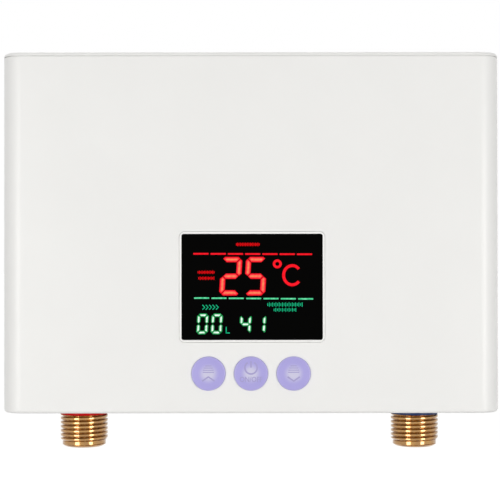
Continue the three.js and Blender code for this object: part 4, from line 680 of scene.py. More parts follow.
def level_segment(left, right, z, out, stroke, gap):
    """The top (out 1), middle (out 0) or bottom (out -1) segment of a digit."""
    half, cut = stroke / 2, stroke * CORNER_SHARE
    if not out:
        first, last = left + gap, right - gap
        return [(first, z), (first + half, z - half), (last - half, z - half),
                (last, z), (last - half, z + half), (first + half, z + half)]
    first, last = left - half + gap, right + half - gap
    edge, corner, inner = z + out * half, z + out * (half - cut), z - out * half
    return [(first + 2 * cut, edge), (last - 2 * cut, edge), (last - cut, corner),
            (last - stroke, inner), (first + stroke, inner), (first + cut, corner)]


def upright_segment(x, out, end, way, mid, stroke, gap):
    """A side segment from the middle to the top (way 1) or bottom (way -1). out is 1 on the right side."""
    half, cut = stroke / 2, stroke * CORNER_SHARE
    last, first = end + way * (half - gap), mid + way * gap
    edge, inner = x + out * half, x - out * half
    return [(edge, last - way * 2 * cut), (x + out * (half - cut), last - way * cut),
            (inner, last - way * stroke), (inner, first + way * half), (x, first),
            (edge, first + way * half * POINT_SHARE)]


def digit_outlines(digit, place, thin, width, height, stroke, slant, gap):
    """The lit segments of a seven-segment digit whose lower left corner is at place."""
    left, right = stroke / 2, width - stroke / 2
    low, top, mid = stroke / 2, height - stroke / 2, height / 2
    stroke, gap = stroke - 2 * thin, gap + thin
    rows = {"a": (top, 1), "g": (mid, 0), "d": (low, -1)}
    posts = {
        "f": (left, -1, top, 1), "b": (right, 1, top, 1),
        "e": (left, -1, low, -1), "c": (right, 1, low, -1),
    }
    outlines = []
    for name in SEGMENTS_OF[digit]:
        if name in rows:
            segment = level_segment(left, right, *rows[name], stroke, gap)
        else:
            segment = upright_segment(*posts[name], mid, stroke, gap)
        outlines.append([(place[0] + u + v * slant, place[1] + v) for u, v in segment])
    return outlines


def figure_outlines(figures, thin=0.0):
    outlines = []
    for digit, place, style in figures:
        outlines += digit_outlines(digit, place, thin, **style)
    return outlines


def bar_outlines(first_x, last_x, z, drop, count, length, height):
    """A row of small rounded bars."""
    outlines = []
    for index in range(count):
        share = index / (count - 1)
        place = (first_x + (last_x - first_x) * share, z - drop * share)
        outlines.append(rounded_rect(length, height, height * BAR_ROUND_SHARE, BAR_STEPS, place))
    return outlines


def stroke_outline(points, width):
    """A line through points, as one quadrilateral for each stretch, which shares its ends with the next."""
    sides = []
    last = len(points) - 1
    for index, (x, z) in enumerate(points):
        before, after = points[max(index - 1, 0)], points[min(index + 1, last)]
        along, up = after[0] - before[0], after[1] - before[1]
        half = width / 2 / math.hypot(along, up)
        sides.append(((x + up * half, z - along * half), (x - up * half, z + along * half)))
    return [[near[0], far[0], far[1], near[1]] for near, far in zip(sides, sides[1:])]


def label_outlines(places):
    """Rows of even upright ticks, every other one shorter, where such a screen has small captions."""
    outlines = []
    for (x, z), width, height, count in places:
        for index in range(count):
            tick_x = x + width * (index / (count - 1) - 0.5)
            rise = height * TICK_SHARES[index % 2]
            outlines += stroke_outline([(tick_x, z - rise), (tick_x, z + rise)], LABEL_STROKE)
    return outlines


def flow_outlines():
    """A row of arrowheads pointing right, the sign for flow."""
    (x, z), width, height, count = FLOW_SIGN
    lean = height * FLOW_LEAN_SHARE
    outlines = []
    for index in range(count):
        tip = x + width * ((index + 0.5) / count - 0.5) + lean
        points = [(tip - 2 * lean, z + height / 2), (tip, z), (tip - 2 * lean, z - height / 2)]
        outlines += stroke_outline(points, FLOW_STROKE)
    return outlines


def unit_outlines():
    """The letter L of the flow's unit."""
    x, z = UNIT_PLACE
    upright_stroke = [(x, z + UNIT_SIZE[1]), (x, z)]
    foot = [(x - UNIT_STROKE / 2, z), (x + UNIT_SIZE[0], z)]
    return stroke_outline(upright_stroke, UNIT_STROKE) + stroke_outline(foot, UNIT_STROKE)


def degree_outlines():
    """The degree ring, as four quarters, and a round letter C of even stroke."""
    outlines = []
    for start in (0, 90, 180, 270):
        span = (start, start + 90, DEGREE_STEPS)
        outer, inner = [arc(radius, *span, DEGREE_PLACE) for radius in DEGREE_RADII]
        outlines.append(outer + inner[::-1])
    (x, z), (wide, tall) = LETTER_PLACE, LETTER_SIZE
    letter = [(x + wide * u, z + tall * v) for u, v in arc(1, *LETTER_ANGLES, LETTER_STEPS)]
    return outlines + stroke_outline(letter, LETTER_STROKE)


def make_marks(name, finish, layer, outlines):
    """Thin flat plates on the pane, one for each outline. A higher layer stands further forward."""
    face = FRONT_Y + WINDOW_SETBACK - MARK_PROUD - layer * MARK_LAYER
    sheet = bmesh.new()
    for outline in outlines:
        add_loft(sheet, [upright(outline, y) for y in (face, face + MARK_PROUD + WINDOW_GAP)])
    dress(object_from(facing_out(sheet), name), "lens_black", finish=finish)


def make_screen_marks():
    """The lit figures, bars and small signs of the screen."""
    MATERIALS.update({name: lit_material(name, *values) for name, values in LIGHTS.items()})
    hot = figure_outlines(BIG_FIGURES) + degree_outlines() + bar_outlines(*RED_BARS)
    captions = label_outlines(GREEN_LABELS) + flow_outlines() + unit_outlines()
    for name, finish, layer, outlines in (
        ("red_marks", "lit_red", 0, hot),
        ("red_labels", "lit_dim_red", 0, label_outlines(RED_LABELS)),
        ("pink_cores", "lit_pink", 1, figure_outlines(BIG_FIGURES, PINK_INSET)),
        ("orange_cores", "lit_orange", 2, figure_outlines(BIG_FIGURES, ORANGE_INSET)),
        ("green_bars", "lit_green", 0, bar_outlines(*GREEN_BARS)),
        ("green_labels", "lit_dim_green", 0, captions),
        ("green_rims", "lit_deep_green", 0, figure_outlines(SMALL_FIGURES, GREEN_RIM_INSET)),
        ("white_cores", "lit_white", 1, figure_outlines(SMALL_FIGURES, WHITE_INSET)),
    ):
        make_marks(f"display_{name}", finish, layer, outlines)


# Buttons

BUTTON_EDGE = 0.0006
BUTTON_DOME = 0.0004
BUTTON_STEM_RADIUS = 0.0025
BUTTON_SIDES = 72
BUTTON_CREASE = 28
FLANGE_REACH = 0.0012
FLANGE_THICKNESS = 0.001
DOME_RADIUS = BUTTON_RADIUS - BUTTON_EDGE
DOME_STEPS = 12
NEAR_AXIS_SHARE = 0.002
CAP_PROUD = 0.0008
CAP_FACE_Y = FRONT_Y - CAP_PROUD
# Plain lilac, with a pale painted highlight in the middle and a slightly paler painted rim against the shade
# at the cap's edge
CAP_PAINTED_LIGHT_STOPS = [
    (0.22, (0.60, 0.585, 0.76)), (0.70, (0.395, 0.36, 0.73)),
    (0.96, (0.395, 0.36, 0.73)), (1.0, (0.45, 0.42, 0.76)),
]
CAP_WAVES = 600.0
CAP_WOBBLE = 0.0006
CAP_GRAIN = 2500.0
CAP_GRAIN_STRENGTH = 0.4
CAP_RELIEF = 0.000003
CAP_GLOSS = (0.32, 0.42)
SIGN_STROKE = 0.00068
SIGN_RISE = 0.00007
SIGN_ROOT = 0.0003
POWER_RING = (0.0026, 122, 418)
POWER_STEPS = 20
POWER_CENTRE = (0.0, 0.0025)
POWER_BAR = (0.0026, 0.0053)
CHEVRON_HALF = 0.0026
CHEVRON_RISE = 0.0009
CHEVRON_Z = -0.0022
SLAT_COUNT = 4
SLAT_LOW = 0.0006
SLAT_PITCH = 0.0009
SLAT_HALF = 0.0024
SLAT_TAPER = 0.00012
SLAT_STROKE = 0.000408
TEXT_SIZE = 0.0031
TEXT_NARROW_SHARE = 0.86
TEXT_BOLD = 0.00005
TEXT_STEPS = 3
TEXT_Z = -0.0025


def dome_y(x, z):
    """How far forward the cap's face stands at a place, measured from its axis."""
    return CAP_FACE_Y - BUTTON_DOME * (1 - (x * x + z * z) / DOME_RADIUS ** 2)


def button_profile(back_y):
    """(radius, y) points of a cap, from the middle of its dome to the end of its stem."""
    profile = []
    for step in range(DOME_STEPS + 1):
        radius = max(DOME_RADIUS * step / DOME_STEPS, DOME_RADIUS * NEAR_AXIS_SHARE)
        profile.append((radius, dome_y(radius, 0.0)))
    edge = arc(BUTTON_EDGE, 270, 180, LIP_STEPS, (BUTTON_EDGE, BUTTON_EDGE))[1:]
    profile += [(BUTTON_RADIUS - u, CAP_FACE_Y + v) for u, v in edge]
    flange, front = BUTTON_RADIUS + FLANGE_REACH, INNER_FRONT_Y + FIT_GAP
    back = front + FLANGE_THICKNESS
    return profile + [
        (BUTTON_RADIUS, front), (flange, front), (flange, back),
        (BUTTON_STEM_RADIUS, back), (BUTTON_STEM_RADIUS, back_y),
    ]


def button_material():
    """Lilac plastic with a painted highlight as its paler, softly edged middle, and a painted paler rim, read
    from the cap's own axis.
    """
    material, tree, shader = new_material("button_lilac")
    flat = add_node(tree, "ShaderNodeVectorMath", {
        0: own_place(tree), 1: (1.0, 0.0, 1.0),
    }, operation="MULTIPLY")
    away = add_node(tree, "ShaderNodeVectorMath", {0: flat.outputs["Vector"]}, operation="LENGTH")
    wobbled = add_math(tree, "MULTIPLY_ADD", noise(tree, CAP_WAVES), CAP_WOBBLE, away.outputs["Value"])
    share = add_math(tree, "DIVIDE", wobbled, BUTTON_RADIUS)
    fine = noise(tree, CAP_GRAIN, FINE_DETAIL)
    fill(tree, shader, {
        # The base colour carries the painted highlight in the middle and the painted paler rim
        "Base Color": ramped(tree, share, CAP_PAINTED_LIGHT_STOPS, "EASE"),
        "Roughness": spread(tree, fine, *CAP_GLOSS),
        "Normal": bump(tree, fine, CAP_GRAIN_STRENGTH, CAP_RELIEF),
    })
    return material


def sign_outlines(node):
    """Outlines of the raised signs on a cap, from its own axis."""
    if node == "button_power":
        bar = [(0.0, z) for z in POWER_BAR]
        ring = arc(*POWER_RING, POWER_STEPS, POWER_CENTRE)
        return stroke_outline(ring, SIGN_STROKE) + stroke_outline(bar, SIGN_STROKE)
    tip = CHEVRON_RISE if node == "button_up" else -CHEVRON_RISE
    chevron = [(-CHEVRON_HALF, CHEVRON_Z - tip), (0.0, CHEVRON_Z + tip), (CHEVRON_HALF, CHEVRON_Z - tip)]
    outlines = stroke_outline(chevron, SIGN_STROKE)
    for row in range(SLAT_COUNT):
        z = SLAT_LOW + row * SLAT_PITCH
        half = SLAT_HALF - row * row * SLAT_TAPER
        outlines += stroke_outline([(-half, z), (half, z)], SLAT_STROKE)
    return outlines


def raised_signs(node):
    """The signs as thin strips that follow the domed face."""
    signs = bmesh.new()
    for outline in sign_outlines(node):
        rings = [[(x, dome_y(x, z) + depth, z) for x, z in outline] for depth in (SIGN_ROOT, -SIGN_RISE)]
        add_loft(signs, rings)
    return facing_out(signs)


def raised_text(words):
    """Letters that follow the domed face, from Blender's own typeface."""
    curve = bpy.data.curves.new("letters", "FONT")
    curve.body = words
    curve.size = TEXT_SIZE
    curve.align_x = "CENTER"
    curve.align_y = "CENTER"
    curve.extrude = SIGN_ROOT / 2
    curve.resolution_u = TEXT_STEPS
    curve.offset = TEXT_BOLD
    writing = bpy.data.objects.new("letters", curve)
    scene.collection.objects.link(writing)
    data = settled_mesh(writing)
    bpy.data.objects.remove(writing)
    bpy.data.curves.remove(curve)
    letters = bmesh.new()
    letters.from_mesh(data)
    bpy.data.meshes.remove(data)
    for vertex in letters.verts:
        x, z = vertex.co.x * TEXT_NARROW_SHARE, vertex.co.y + TEXT_Z
        depth = -SIGN_RISE if vertex.co.z > 0 else SIGN_ROOT
        vertex.co = (x, dome_y(x, z) + depth, z)
    return letters


def make_button(node):
    body = f"{node.split('_')[1]}_button"
    cap = turned(button_profile(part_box(node)[1].y), "y", (0.0, 0.0), BUTTON_SIDES)
    pieces = [object_from(cap, f"{node}_cap", BUTTON_CREASE)]
    pieces.append(object_from(raised_signs(node), f"{node}_sign"))
    if node == "button_power":
        pieces.append(object_from(raised_text("ON/OFF"), f"{node}_letters"))
    x, z = front_place(node)
    for piece in pieces:
        piece.location = (x, 0.0, z)
    dress(pieces[0], "button_lilac", node, body=body)
    for piece in pieces[1:]:
        dress(piece, "button_lilac", finish="sign_lilac", body=body)


def make_buttons():
    MATERIALS["button_lilac"] = button_material()
    for node in BUTTONS:
        make_button(node)


# Water connections

THREAD_RADIUS = 0.0104775
THREAD_DEPTH = 0.001162
THREAD_ROOT = THREAD_RADIUS - THREAD_DEPTH
THREAD_PITCH = 0.001814
THREAD_START_SHARE = 0.46
CREST_SHARE = 0.2
# How far past the thread's root the worn end of a fitting may stand, by its height above the mouth
LEAD_IN = [(0.0, -0.0009), (0.0004, -0.0003), (0.0009, 0.0003), (0.0027, 0.0003), (0.0034, THREAD_DEPTH)]
THREAD_SIDES = 96
ROWS_A_TURN = 20
BORE_RADIUS = 0.007
NECK_RADIUS = 0.0092
EDGE_BREAK = 0.0003
MOUTH_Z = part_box("inlet_connector")[0].z
TAIL_TOP_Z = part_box("inlet_connector")[1].z
RING_LOW_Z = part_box("inlet_ring")[0].z
HEX_LIFT = 0.002
HEX_LOW_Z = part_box("connector_bracket")[0].z + HEX_LIFT
HEX_HEIGHT = 0.005
HEX_ACROSS_FLATS = 0.024
HEX_CHAMFER_SHARE = 0.55
BRASS_CREASE = 50
BRASS_WAVES = 260.0
BRASS_DETAIL = 4.0
LATHE_WAVES = 1500.0
LATHE_STRETCH = (0.3, 0.3, 5.0)
LATHE_STRENGTH = 0.3
LATHE_RELIEF = 0.000003
BRASS_STOPS = [(0.3, (0.3, 0.13, 0.01)), (0.7, (0.47, 0.228, 0.026))]
BRASS_GLOSS = (0.13, 0.19)
BRASS_METALLIC = 0.8
BRASS_COAT = 0.8
BRASS_COAT_ROUGHNESS = 0.09
BRASS_COAT_IOR = 1.9


def round_points(size_at, centre, sides):
    """A ring of points whose radius depends on the angle."""
    angles = [2 * math.pi * side / sides for side in range(sides)]
    return [polar(size_at(angle), angle, centre) for angle in angles]


def thread_radius(z, angle):
    """The radius of the right-hand thread, with its worn flat crests and rounded roots."""
    phase = z / THREAD_PITCH - angle / (2 * math.pi) + THREAD_START_SHARE
    away = abs(phase - round(phase))
    fall = min(1.0, max(0.0, (away - CREST_SHARE) / (0.5 - CREST_SHARE)))
    return THREAD_RADIUS - THREAD_DEPTH * fall * fall * (3 - 2 * fall)


def worn_radius(rise):
    """The radius that the worn end of a fitting allows, at a height above its mouth."""
    for (low, first), (high, last) in zip(LEAD_IN, LEAD_IN[1:]):
        if rise <= high:
            return THREAD_ROOT + first + (last - first) * (rise - low) / (high - low)
    return THREAD_RADIUS


def connector_rings(centre):
    """Rings of the brass body: up the outside from the mouth, then down the bore."""
    rows = int((RING_LOW_Z - MOUTH_Z) / THREAD_PITCH * ROWS_A_TURN)
    rises = [(RING_LOW_Z - MOUTH_Z) * row / rows for row in range(1, rows + 1)]
    threaded = [(worn_radius(0.0), MOUTH_Z + EDGE_BREAK / 2)]
    threaded += [(worn_radius(rise), MOUTH_Z + rise) for rise in rises]
    mouth = [(BORE_RADIUS + EDGE_BREAK, MOUTH_Z), (worn_radius(0.0) - EDGE_BREAK, MOUTH_Z)]
    plain = [
        (NECK_RADIUS, RING_LOW_Z + FIT_GAP / 3), (NECK_RADIUS, TAIL_TOP_Z - EDGE_BREAK),
        (NECK_RADIUS - EDGE_BREAK, TAIL_TOP_Z), (BORE_RADIUS + EDGE_BREAK, TAIL_TOP_Z),
        (BORE_RADIUS, TAIL_TOP_Z - EDGE_BREAK), (BORE_RADIUS, MOUTH_Z + EDGE_BREAK),
    ]
    rings = [level(circle(radius, centre, THREAD_SIDES), z) for radius, z in mouth]
    for radius, z in threaded:
        points = round_points(lambda angle: min(radius, thread_radius(z, angle)), centre, THREAD_SIDES)
        rings.append(level(points, z))
    return rings + [level(circle(radius, centre, THREAD_SIDES), z) for radius, z in plain]


def hex_radius(angle):
    """How far a hexagon's side stands out at an angle."""
    off = (angle + math.pi / 6) % (math.pi / 3) - math.pi / 6
    return HEX_ACROSS_FLATS / 2 / math.cos(off)


def hex_mesh(centre):
    """The six-sided flange, its corners rounded off as a turned nut's are."""
    flat, corner = HEX_ACROSS_FLATS / 2, HEX_ACROSS_FLATS / math.sqrt(3)
    fall = (corner - flat) * HEX_CHAMFER_SHARE
    top_z = HEX_LOW_Z + HEX_HEIGHT
    rings = []
    for limit, z in ((flat, HEX_LOW_Z), (corner, HEX_LOW_Z + fall), (corner, top_z - fall), (flat, top_z)):
        points = round_points(lambda angle: min(limit, hex_radius(angle)), centre, THREAD_SIDES)
        rings.append(level(points, z))
    inner = (BORE_RADIUS + NECK_RADIUS) / 2
    rings += [level(circle(inner, centre, THREAD_SIDES), z) for z in (top_z, HEX_LOW_Z)]
    return lofted(rings, closed=True)


def make_connector(node):
    centre = middle(node)
    body = object_from(lofted(connector_rings(centre), closed=True), f"{node}_body", BRASS_CREASE)
    carve(body, [hex_mesh(centre)], "UNION", BRASS_CREASE)
    dress(body, "brass", node)


def make_colour_ring(node, slot):
    low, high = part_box(node)
    outer, inner = reach(node, 0), NECK_RADIUS + FIT_GAP
    profile = [
        (inner, low.z), (outer - EDGE_BREAK, low.z), (outer, low.z + EDGE_BREAK),
        (outer, high.z - EDGE_BREAK), (outer - EDGE_BREAK, high.z), (inner, high.z),
    ]
    ring = object_from(turned(profile, "z", middle(node), THREAD_SIDES, closed=True), f"{node}_band")
    dress(ring, slot, node)


def brass_material():
    """Turned brass: dark tan metal with duller patches, fine lathe rings and a bright polish over it."""
    material, tree, shader = new_material("brass")
    patch = noise(tree, BRASS_WAVES, BRASS_DETAIL)
    lathe = noise(tree, LATHE_WAVES, FINE_DETAIL, LATHE_STRETCH)
    fill(tree, shader, {
        "Base Color": ramped(tree, patch, BRASS_STOPS),
        "Roughness": spread(tree, patch, *BRASS_GLOSS),
        "Normal": bump(tree, lathe, LATHE_STRENGTH, LATHE_RELIEF),
        "Metallic": BRASS_METALLIC,
        "Coat Weight": BRASS_COAT,
        "Coat Roughness": BRASS_COAT_ROUGHNESS,
        "Coat IOR": BRASS_COAT_IOR,
    })
    return material


def make_water_connections():
    MATERIALS["brass"] = brass_material()
    for node in CONNECTORS:
        make_connector(node)
    make_colour_ring("inlet_ring", "ring_blue")
    make_colour_ring("outlet_ring", "ring_red")


# Screws

CASE_HEAD_HEIGHT = 0.0019
SMALL_HEAD_HEIGHT = 0.0018
PAN_DOME_SHARE = 0.75
PAN_ANGLES = (30, 45, 60, 75, 90)
SCREW_PITCH = 0.0011
SCREW_THREAD_DEPTH = 0.0003
SCREW_FLANK_SHARE = 0.3
SCREW_TIP_SHARE = 0.06
SCREW_ROWS_A_TURN = 6
SCREW_SIDES = 32
RECESS_DEPTH = 0.0015
RECESS_WIDTH = 0.0013
RECESS_TAPER_SHARE = 0.5
CASE_RECESS_SHARE = 0.58
SMALL_RECESS_SHARE = 0.55
# 1 for the screws that point to the wall, -1 for those that point to the front
SMALL_SCREWS = {
    "strap_screw_left": 1, "strap_screw_right": 1, "control_board_screw_1": 1, "control_board_screw_2": 1,
    "display_board_screw_1": -1, "display_board_screw_2": -1,
}


def shank_radius(radius, depth, angle):
    """The radius of a screw's sharp, widely spaced thread."""
    phase = depth / SCREW_PITCH + angle / (2 * math.pi)
    return radius - SCREW_THREAD_DEPTH * min(1.0, abs(phase - round(phase)) / SCREW_FLANK_SHARE)


def screw_rings(place, face_y, way, head, radius, length):
    """Rings from the head's face to the point. way is 1 when the screw points to the wall."""
    rings = [upright(circle(size, place, SCREW_SIDES), face_y + way * depth) for size, depth in head]
    start = head[-1][1]
    rows = int((length - start - radius) / SCREW_PITCH * SCREW_ROWS_A_TURN)
    for row in range(rows + 1):
        depth = start + (length - start) * row / rows
        limit = max(radius * SCREW_TIP_SHARE, min(radius, length - depth))
        points = round_points(
            lambda angle: min(limit, shank_radius(radius, depth, angle)), place, SCREW_SIDES,
        )
        rings.append(upright(points, face_y + way * depth))
    return rings


def cross_recess(place, face_y, way, span):
    """Two tapered slots that cross."""
    corners = ((-1, -1), (1, -1), (1, 1), (-1, 1))
    tools = []
    for long, wide in ((span, RECESS_WIDTH / 2), (RECESS_WIDTH / 2, span)):
        rings = []
        for depth, share in ((-OVERRUN / 4, 1.0), (0.0, 1.0), (RECESS_DEPTH, RECESS_TAPER_SHARE)):
            outline = [(place[0] + u * long * share, place[1] + v * wide * share) for u, v in corners]
            rings.append(upright(outline, face_y + way * depth))
        tools.append(lofted(rings))
    return tools


def countersunk_head(radius):
    edge = EDGE_BREAK / 2
    return [(radius - edge, 0.0), (radius, edge), (CASE_SCREW_RADIUS, CASE_HEAD_HEIGHT)]


def pan_head(radius):
    """A low domed head with a flat seat."""
    dome_height = SMALL_HEAD_HEIGHT * PAN_DOME_SHARE
    dome = []
    for angle in PAN_ANGLES:
        turn = math.radians(angle)
        dome.append((radius * math.sin(turn), dome_height * (1 - math.cos(turn))))
    return dome + [(radius, SMALL_HEAD_HEIGHT), (SMALL_SCREW_RADIUS, SMALL_HEAD_HEIGHT)]


def make_screw(node, way, head, radius, recess_share):
    low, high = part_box(node)
    face_y = low.y if way > 0 else high.y
    place = front_place(node)
    rings = screw_rings(place, face_y, way, head(reach(node, 0)), radius, high.y - low.y)
    screw = object_from(lofted(rings), f"{node}_body")
    carve(screw, cross_recess(place, face_y, way, reach(node, 0) * recess_share))
    dress(screw, "steel", node)


def make_screws():
    for node in CASE_SCREWS:
        make_screw(node, -1, countersunk_head, CASE_SCREW_RADIUS, CASE_RECESS_SHARE)
    for node, way in SMALL_SCREWS.items():
        make_screw(node, way, pan_head, SMALL_SCREW_RADIUS, SMALL_RECESS_SHARE)


# Rear plate

RIM_WALL = 0.0016
RIM_HEIGHT = 0.004
RIM_RADIUS = 0.001
RIM_STEPS = 4
KEYHOLE_SIDE = 0.044
KEYHOLE_TOP = 0.02575
KEYHOLE_X = HALF_WIDTH - KEYHOLE_SIDE
KEYHOLE_Z = HALF_HEIGHT - KEYHOLE_TOP
KEYHOLE_RADIUS = 0.005
KEYHOLE_SLOT = 0.0025
KEYHOLE_RISE = 0.009
KEYHOLE_STEPS = 40
KEYHOLE_PAD = 0.0025
KEYHOLE_PAD_HEIGHT = 0.0008
KEYHOLE_LIP = 0.0004
FIELD_SIDE = 0.018
FIELD_END = 0.0072
FIELD_DEPTH = 0.0005
FIELD_RADIUS = 0.005
SEAT_SIDES = 48
GROMMET_HOLE_RADIUS = 0.0065
GROMMET_WEB_Y = -0.0017
CRADLE_Y = -0.015
HOOK_WALL = 0.0015
STANDOFF_RADIUS = 0.0035
STANDOFF_INSET = 0.005
SMALL_SCREW_DEPTH = 0.007
PLATE_SEAT_Y = PLATE_FRONT_Y - FIT_GAP / 3


def plate_skin():
    """The slice of the case behind the seal, with the case's own rear edges."""
    rings = []
    for inset, z in BOTTOM_ROWS + TOP_ROWS:
        rings.append(level(case_plan(inset, PLATE_HIGH.y - inset, REAR_RADIUS - inset + EDGE_BREAK), z))
    skin = object_from(lofted(rings), "rear_plate_shell")
    wide, tall = HALF_WIDTH + OVERRUN, HALF_HEIGHT + OVERRUN
    return carve(skin, [block((-wide, FRONT_Y - OVERRUN, -tall), (wide, PLATE_FRONT_Y, tall))])


def case_ring(side_inset, end_inset, radius, steps, y):
    """The case's outline seen from the front, drawn in at its sides and ends."""
    size = (2 * (HALF_WIDTH - side_inset), 2 * (HALF_HEIGHT - end_inset))
    return upright(rounded_rect(*size, radius, steps), y)


def frame_ring(section, radius, steps):
    """A frame along the case's outline, from a section of (inset, y) points."""
    return lofted([case_ring(inset, inset, radius, steps, y) for inset, y in section], closed=True)


def connector_tongue(node):
    """The piece of the plate that closes a bottom slot behind its connector."""
    centre = middle(node)
    left, right = centre.x - SLOT_REACH + FIT_GAP, centre.x + SLOT_REACH - FIT_GAP
    low, high = -HALF_HEIGHT, INNER_LOW_Z + FIT_GAP + WALL / 2
    tongue = object_from(block((left, centre.y, low), (right, COVER_BACK_Y, INNER_LOW_Z)), "tongue")
    shelf = block((left, centre.y / 2, low), (right, COVER_BACK_Y, high))
    root = block((left, centre.y / 2, INNER_LOW_Z + FIT_GAP), (right, PLATE_SEAT_Y, high))
    carve(tongue, [shelf, root], "UNION")
    return carve(tongue, [turned([(SLOT_REACH, low - OVERRUN), (SLOT_REACH, high + OVERRUN)], "z", centre)])


def tank_cradle(strap, screw):
    """The rib behind the tank, hollowed to its round, with a hook for the strap's low foot."""
    low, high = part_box(strap)
    tank = middle("heater_tank")
    hook_z = low.z - FIT_GAP
    foot_y = CRADLE_Y - HOOK_WALL
    front = foot_y - FIT_GAP - HOOK_WALL
    rib = object_from(block((low.x, CRADLE_Y, low.z), (high.x, PLATE_SEAT_Y, high.z)), "cradle")
    carve(rib, [
        block((low.x, front, hook_z - HOOK_WALL), (high.x, PLATE_SEAT_Y, hook_z)),
        block((low.x, front, hook_z - HOOK_WALL), (high.x, foot_y - FIT_GAP, hook_z + HOOK_WALL)),
        block((low.x, CRADLE_Y, hook_z - FIT_GAP), (high.x, PLATE_SEAT_Y, hook_z + 2 * FIT_GAP)),
    ], "UNION")
    hollow = circle(reach("heater_tank", 2) + FIT_GAP, (tank.y, tank.z))
    tunnel = lofted([[(x, y, z) for y, z in hollow] for x in (low.x - OVERRUN, high.x + OVERRUN)])
    bore_end = foot_y + SMALL_SCREW_DEPTH + FIT_GAP
    bore = rod(SMALL_SCREW_RADIUS + FIT_GAP, foot_y - OVERRUN, bore_end, *front_place(screw))
    return carve(rib, [tunnel, bore])


def keyhole_outline(x, grow):
    """The keyhole's outline: a round head below and a slot above it."""
    head, slot = KEYHOLE_RADIUS + grow, KEYHOLE_SLOT + grow
    join = math.degrees(math.asin(slot / head))
    points = arc(head, 90 + join, 450 - join, KEYHOLE_STEPS, (x, KEYHOLE_Z))
    return points + arc(slot, 0, 180, ARC_STEPS, (x, KEYHOLE_Z + KEYHOLE_RISE))


def keyhole_cut(x):
    """A keyhole with softly rounded edges on the wall side."""
    face = PLATE_HIGH.y - FIELD_DEPTH
    rings = [upright(keyhole_outline(x, KEYHOLE_LIP), OVERRUN)]
    rings += [upright(keyhole_outline(x, offset), face - depth) for offset, depth in lip_steps(KEYHOLE_LIP)]
    return lofted(rings + [upright(keyhole_outline(x, 0.0), PLATE_LOW.y - OVERRUN)])


def keyhole_pad(x):
    """The thicker stretch of plate round a keyhole."""
    wide = KEYHOLE_RADIUS + KEYHOLE_PAD
    top = KEYHOLE_Z + KEYHOLE_RISE + KEYHOLE_SLOT + KEYHOLE_PAD
    low = (x - wide, PLATE_FRONT_Y - KEYHOLE_PAD_HEIGHT, KEYHOLE_Z - wide)
    return block(low, (x + wide, PLATE_FRONT_Y + FIT_GAP, top))


def screw_seat(node):
    """A countersunk hole for a case screw, open to the wall side."""
    low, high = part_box(node)
    head, hole = reach(node, 0) + FIT_GAP, CASE_SCREW_RADIUS + FIT_GAP
    profile = [
        (head + FIT_GAP, OVERRUN), (head + FIT_GAP, 0.0), (head, -FIT_GAP),
        (head, high.y), (hole, high.y - CASE_HEAD_HEIGHT), (hole, low.y - FIT_GAP),
    ]
    return turned(profile, "y", front_place(node), SEAT_SIDES)


def field_cut():
    """A shallow panel sunk into the plate's back, with a soft edge."""
    rings = []
    for grow, y in ((FIELD_DEPTH, OVERRUN), (FIELD_DEPTH, 0.0), (0.0, -FIELD_DEPTH)):
        rings.append(case_ring(FIELD_SIDE - grow, FIELD_END - grow, FIELD_RADIUS, WINDOW_STEPS, y))
    return lofted(rings)


def grommet_seat():
    flange = reach("cable_grommet", 0) + FIT_GAP
    profile = [
        (flange + FIT_GAP, OVERRUN), (flange + FIT_GAP, -FIELD_DEPTH), (flange, -FIELD_DEPTH - FIT_GAP),
        (flange, GROMMET_WEB_Y), (GROMMET_HOLE_RADIUS, GROMMET_WEB_Y),
        (GROMMET_HOLE_RADIUS, PLATE_LOW.y - OVERRUN),
    ]
    return turned(profile, "y", front_place("cable_grommet"))


def make_rear_plate():
    plate = plate_skin()
    root = PLATE_FRONT_Y + FIT_GAP
    board_front, board_back = [corner.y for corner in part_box("control_board")]
    corners = corner_places("control_board", STANDOFF_INSET)
    keyholes = (-KEYHOLE_X, KEYHOLE_X)
    outer, rim_y = WALL + FIT_GAP, PLATE_FRONT_Y - RIM_HEIGHT
    inner = outer + RIM_WALL
    rim = frame_ring([(outer, rim_y), (outer, root), (inner, root), (inner, rim_y)], RIM_RADIUS, RIM_STEPS)
    posts = gathered([rod(STANDOFF_RADIUS, board_back, root, *corner) for corner in corners])
    carve(plate, [rim, posts, gathered([keyhole_pad(x) for x in keyholes])], "UNION")
    parts = [connector_tongue(node) for node in CONNECTORS]
    parts += [tank_cradle(f"tank_strap_{side}", f"strap_screw_{side}") for side in ("left", "right")]
    carve(plate, parts, "UNION")
    pins = [rod(PIN_RADIUS, board_back - PIN_HEIGHT, root, *corners[index]) for index in PIN_CORNERS]
    carve(plate, [gathered(pins)], "UNION")
    holes = [keyhole_cut(x) for x in keyholes] + [screw_seat(node) for node in CASE_SCREWS]
    bore_end = board_front + SMALL_SCREW_DEPTH + FIT_GAP
    for index in SCREW_CORNERS:
        holes.append(rod(SMALL_SCREW_RADIUS + FIT_GAP, board_front - OVERRUN, bore_end, *corners[index]))
    carve(plate, [field_cut(), gathered(holes), grommet_seat()])
    dress(plate, "plate_white", "rear_plate")


# Seal, grommet and inlet strainer

RUBBER_ROUND = 0.0003
SEAL_STEPS = 3
GROMMET_BORE = 0.0045
GROMMET_LIP = 0.0011
FILTER_WIRE = 0.00025
FILTER_WIRE_SIDES = 8
FILTER_ROWS = 9
FILTER_RIBS = 28
FILTER_RIM = 0.0009
FILTER_RIB_INSET = 0.000375
FILTER_RING_SIDES = 4
FILTER_LID_SHARES = (0.7, 0.3)


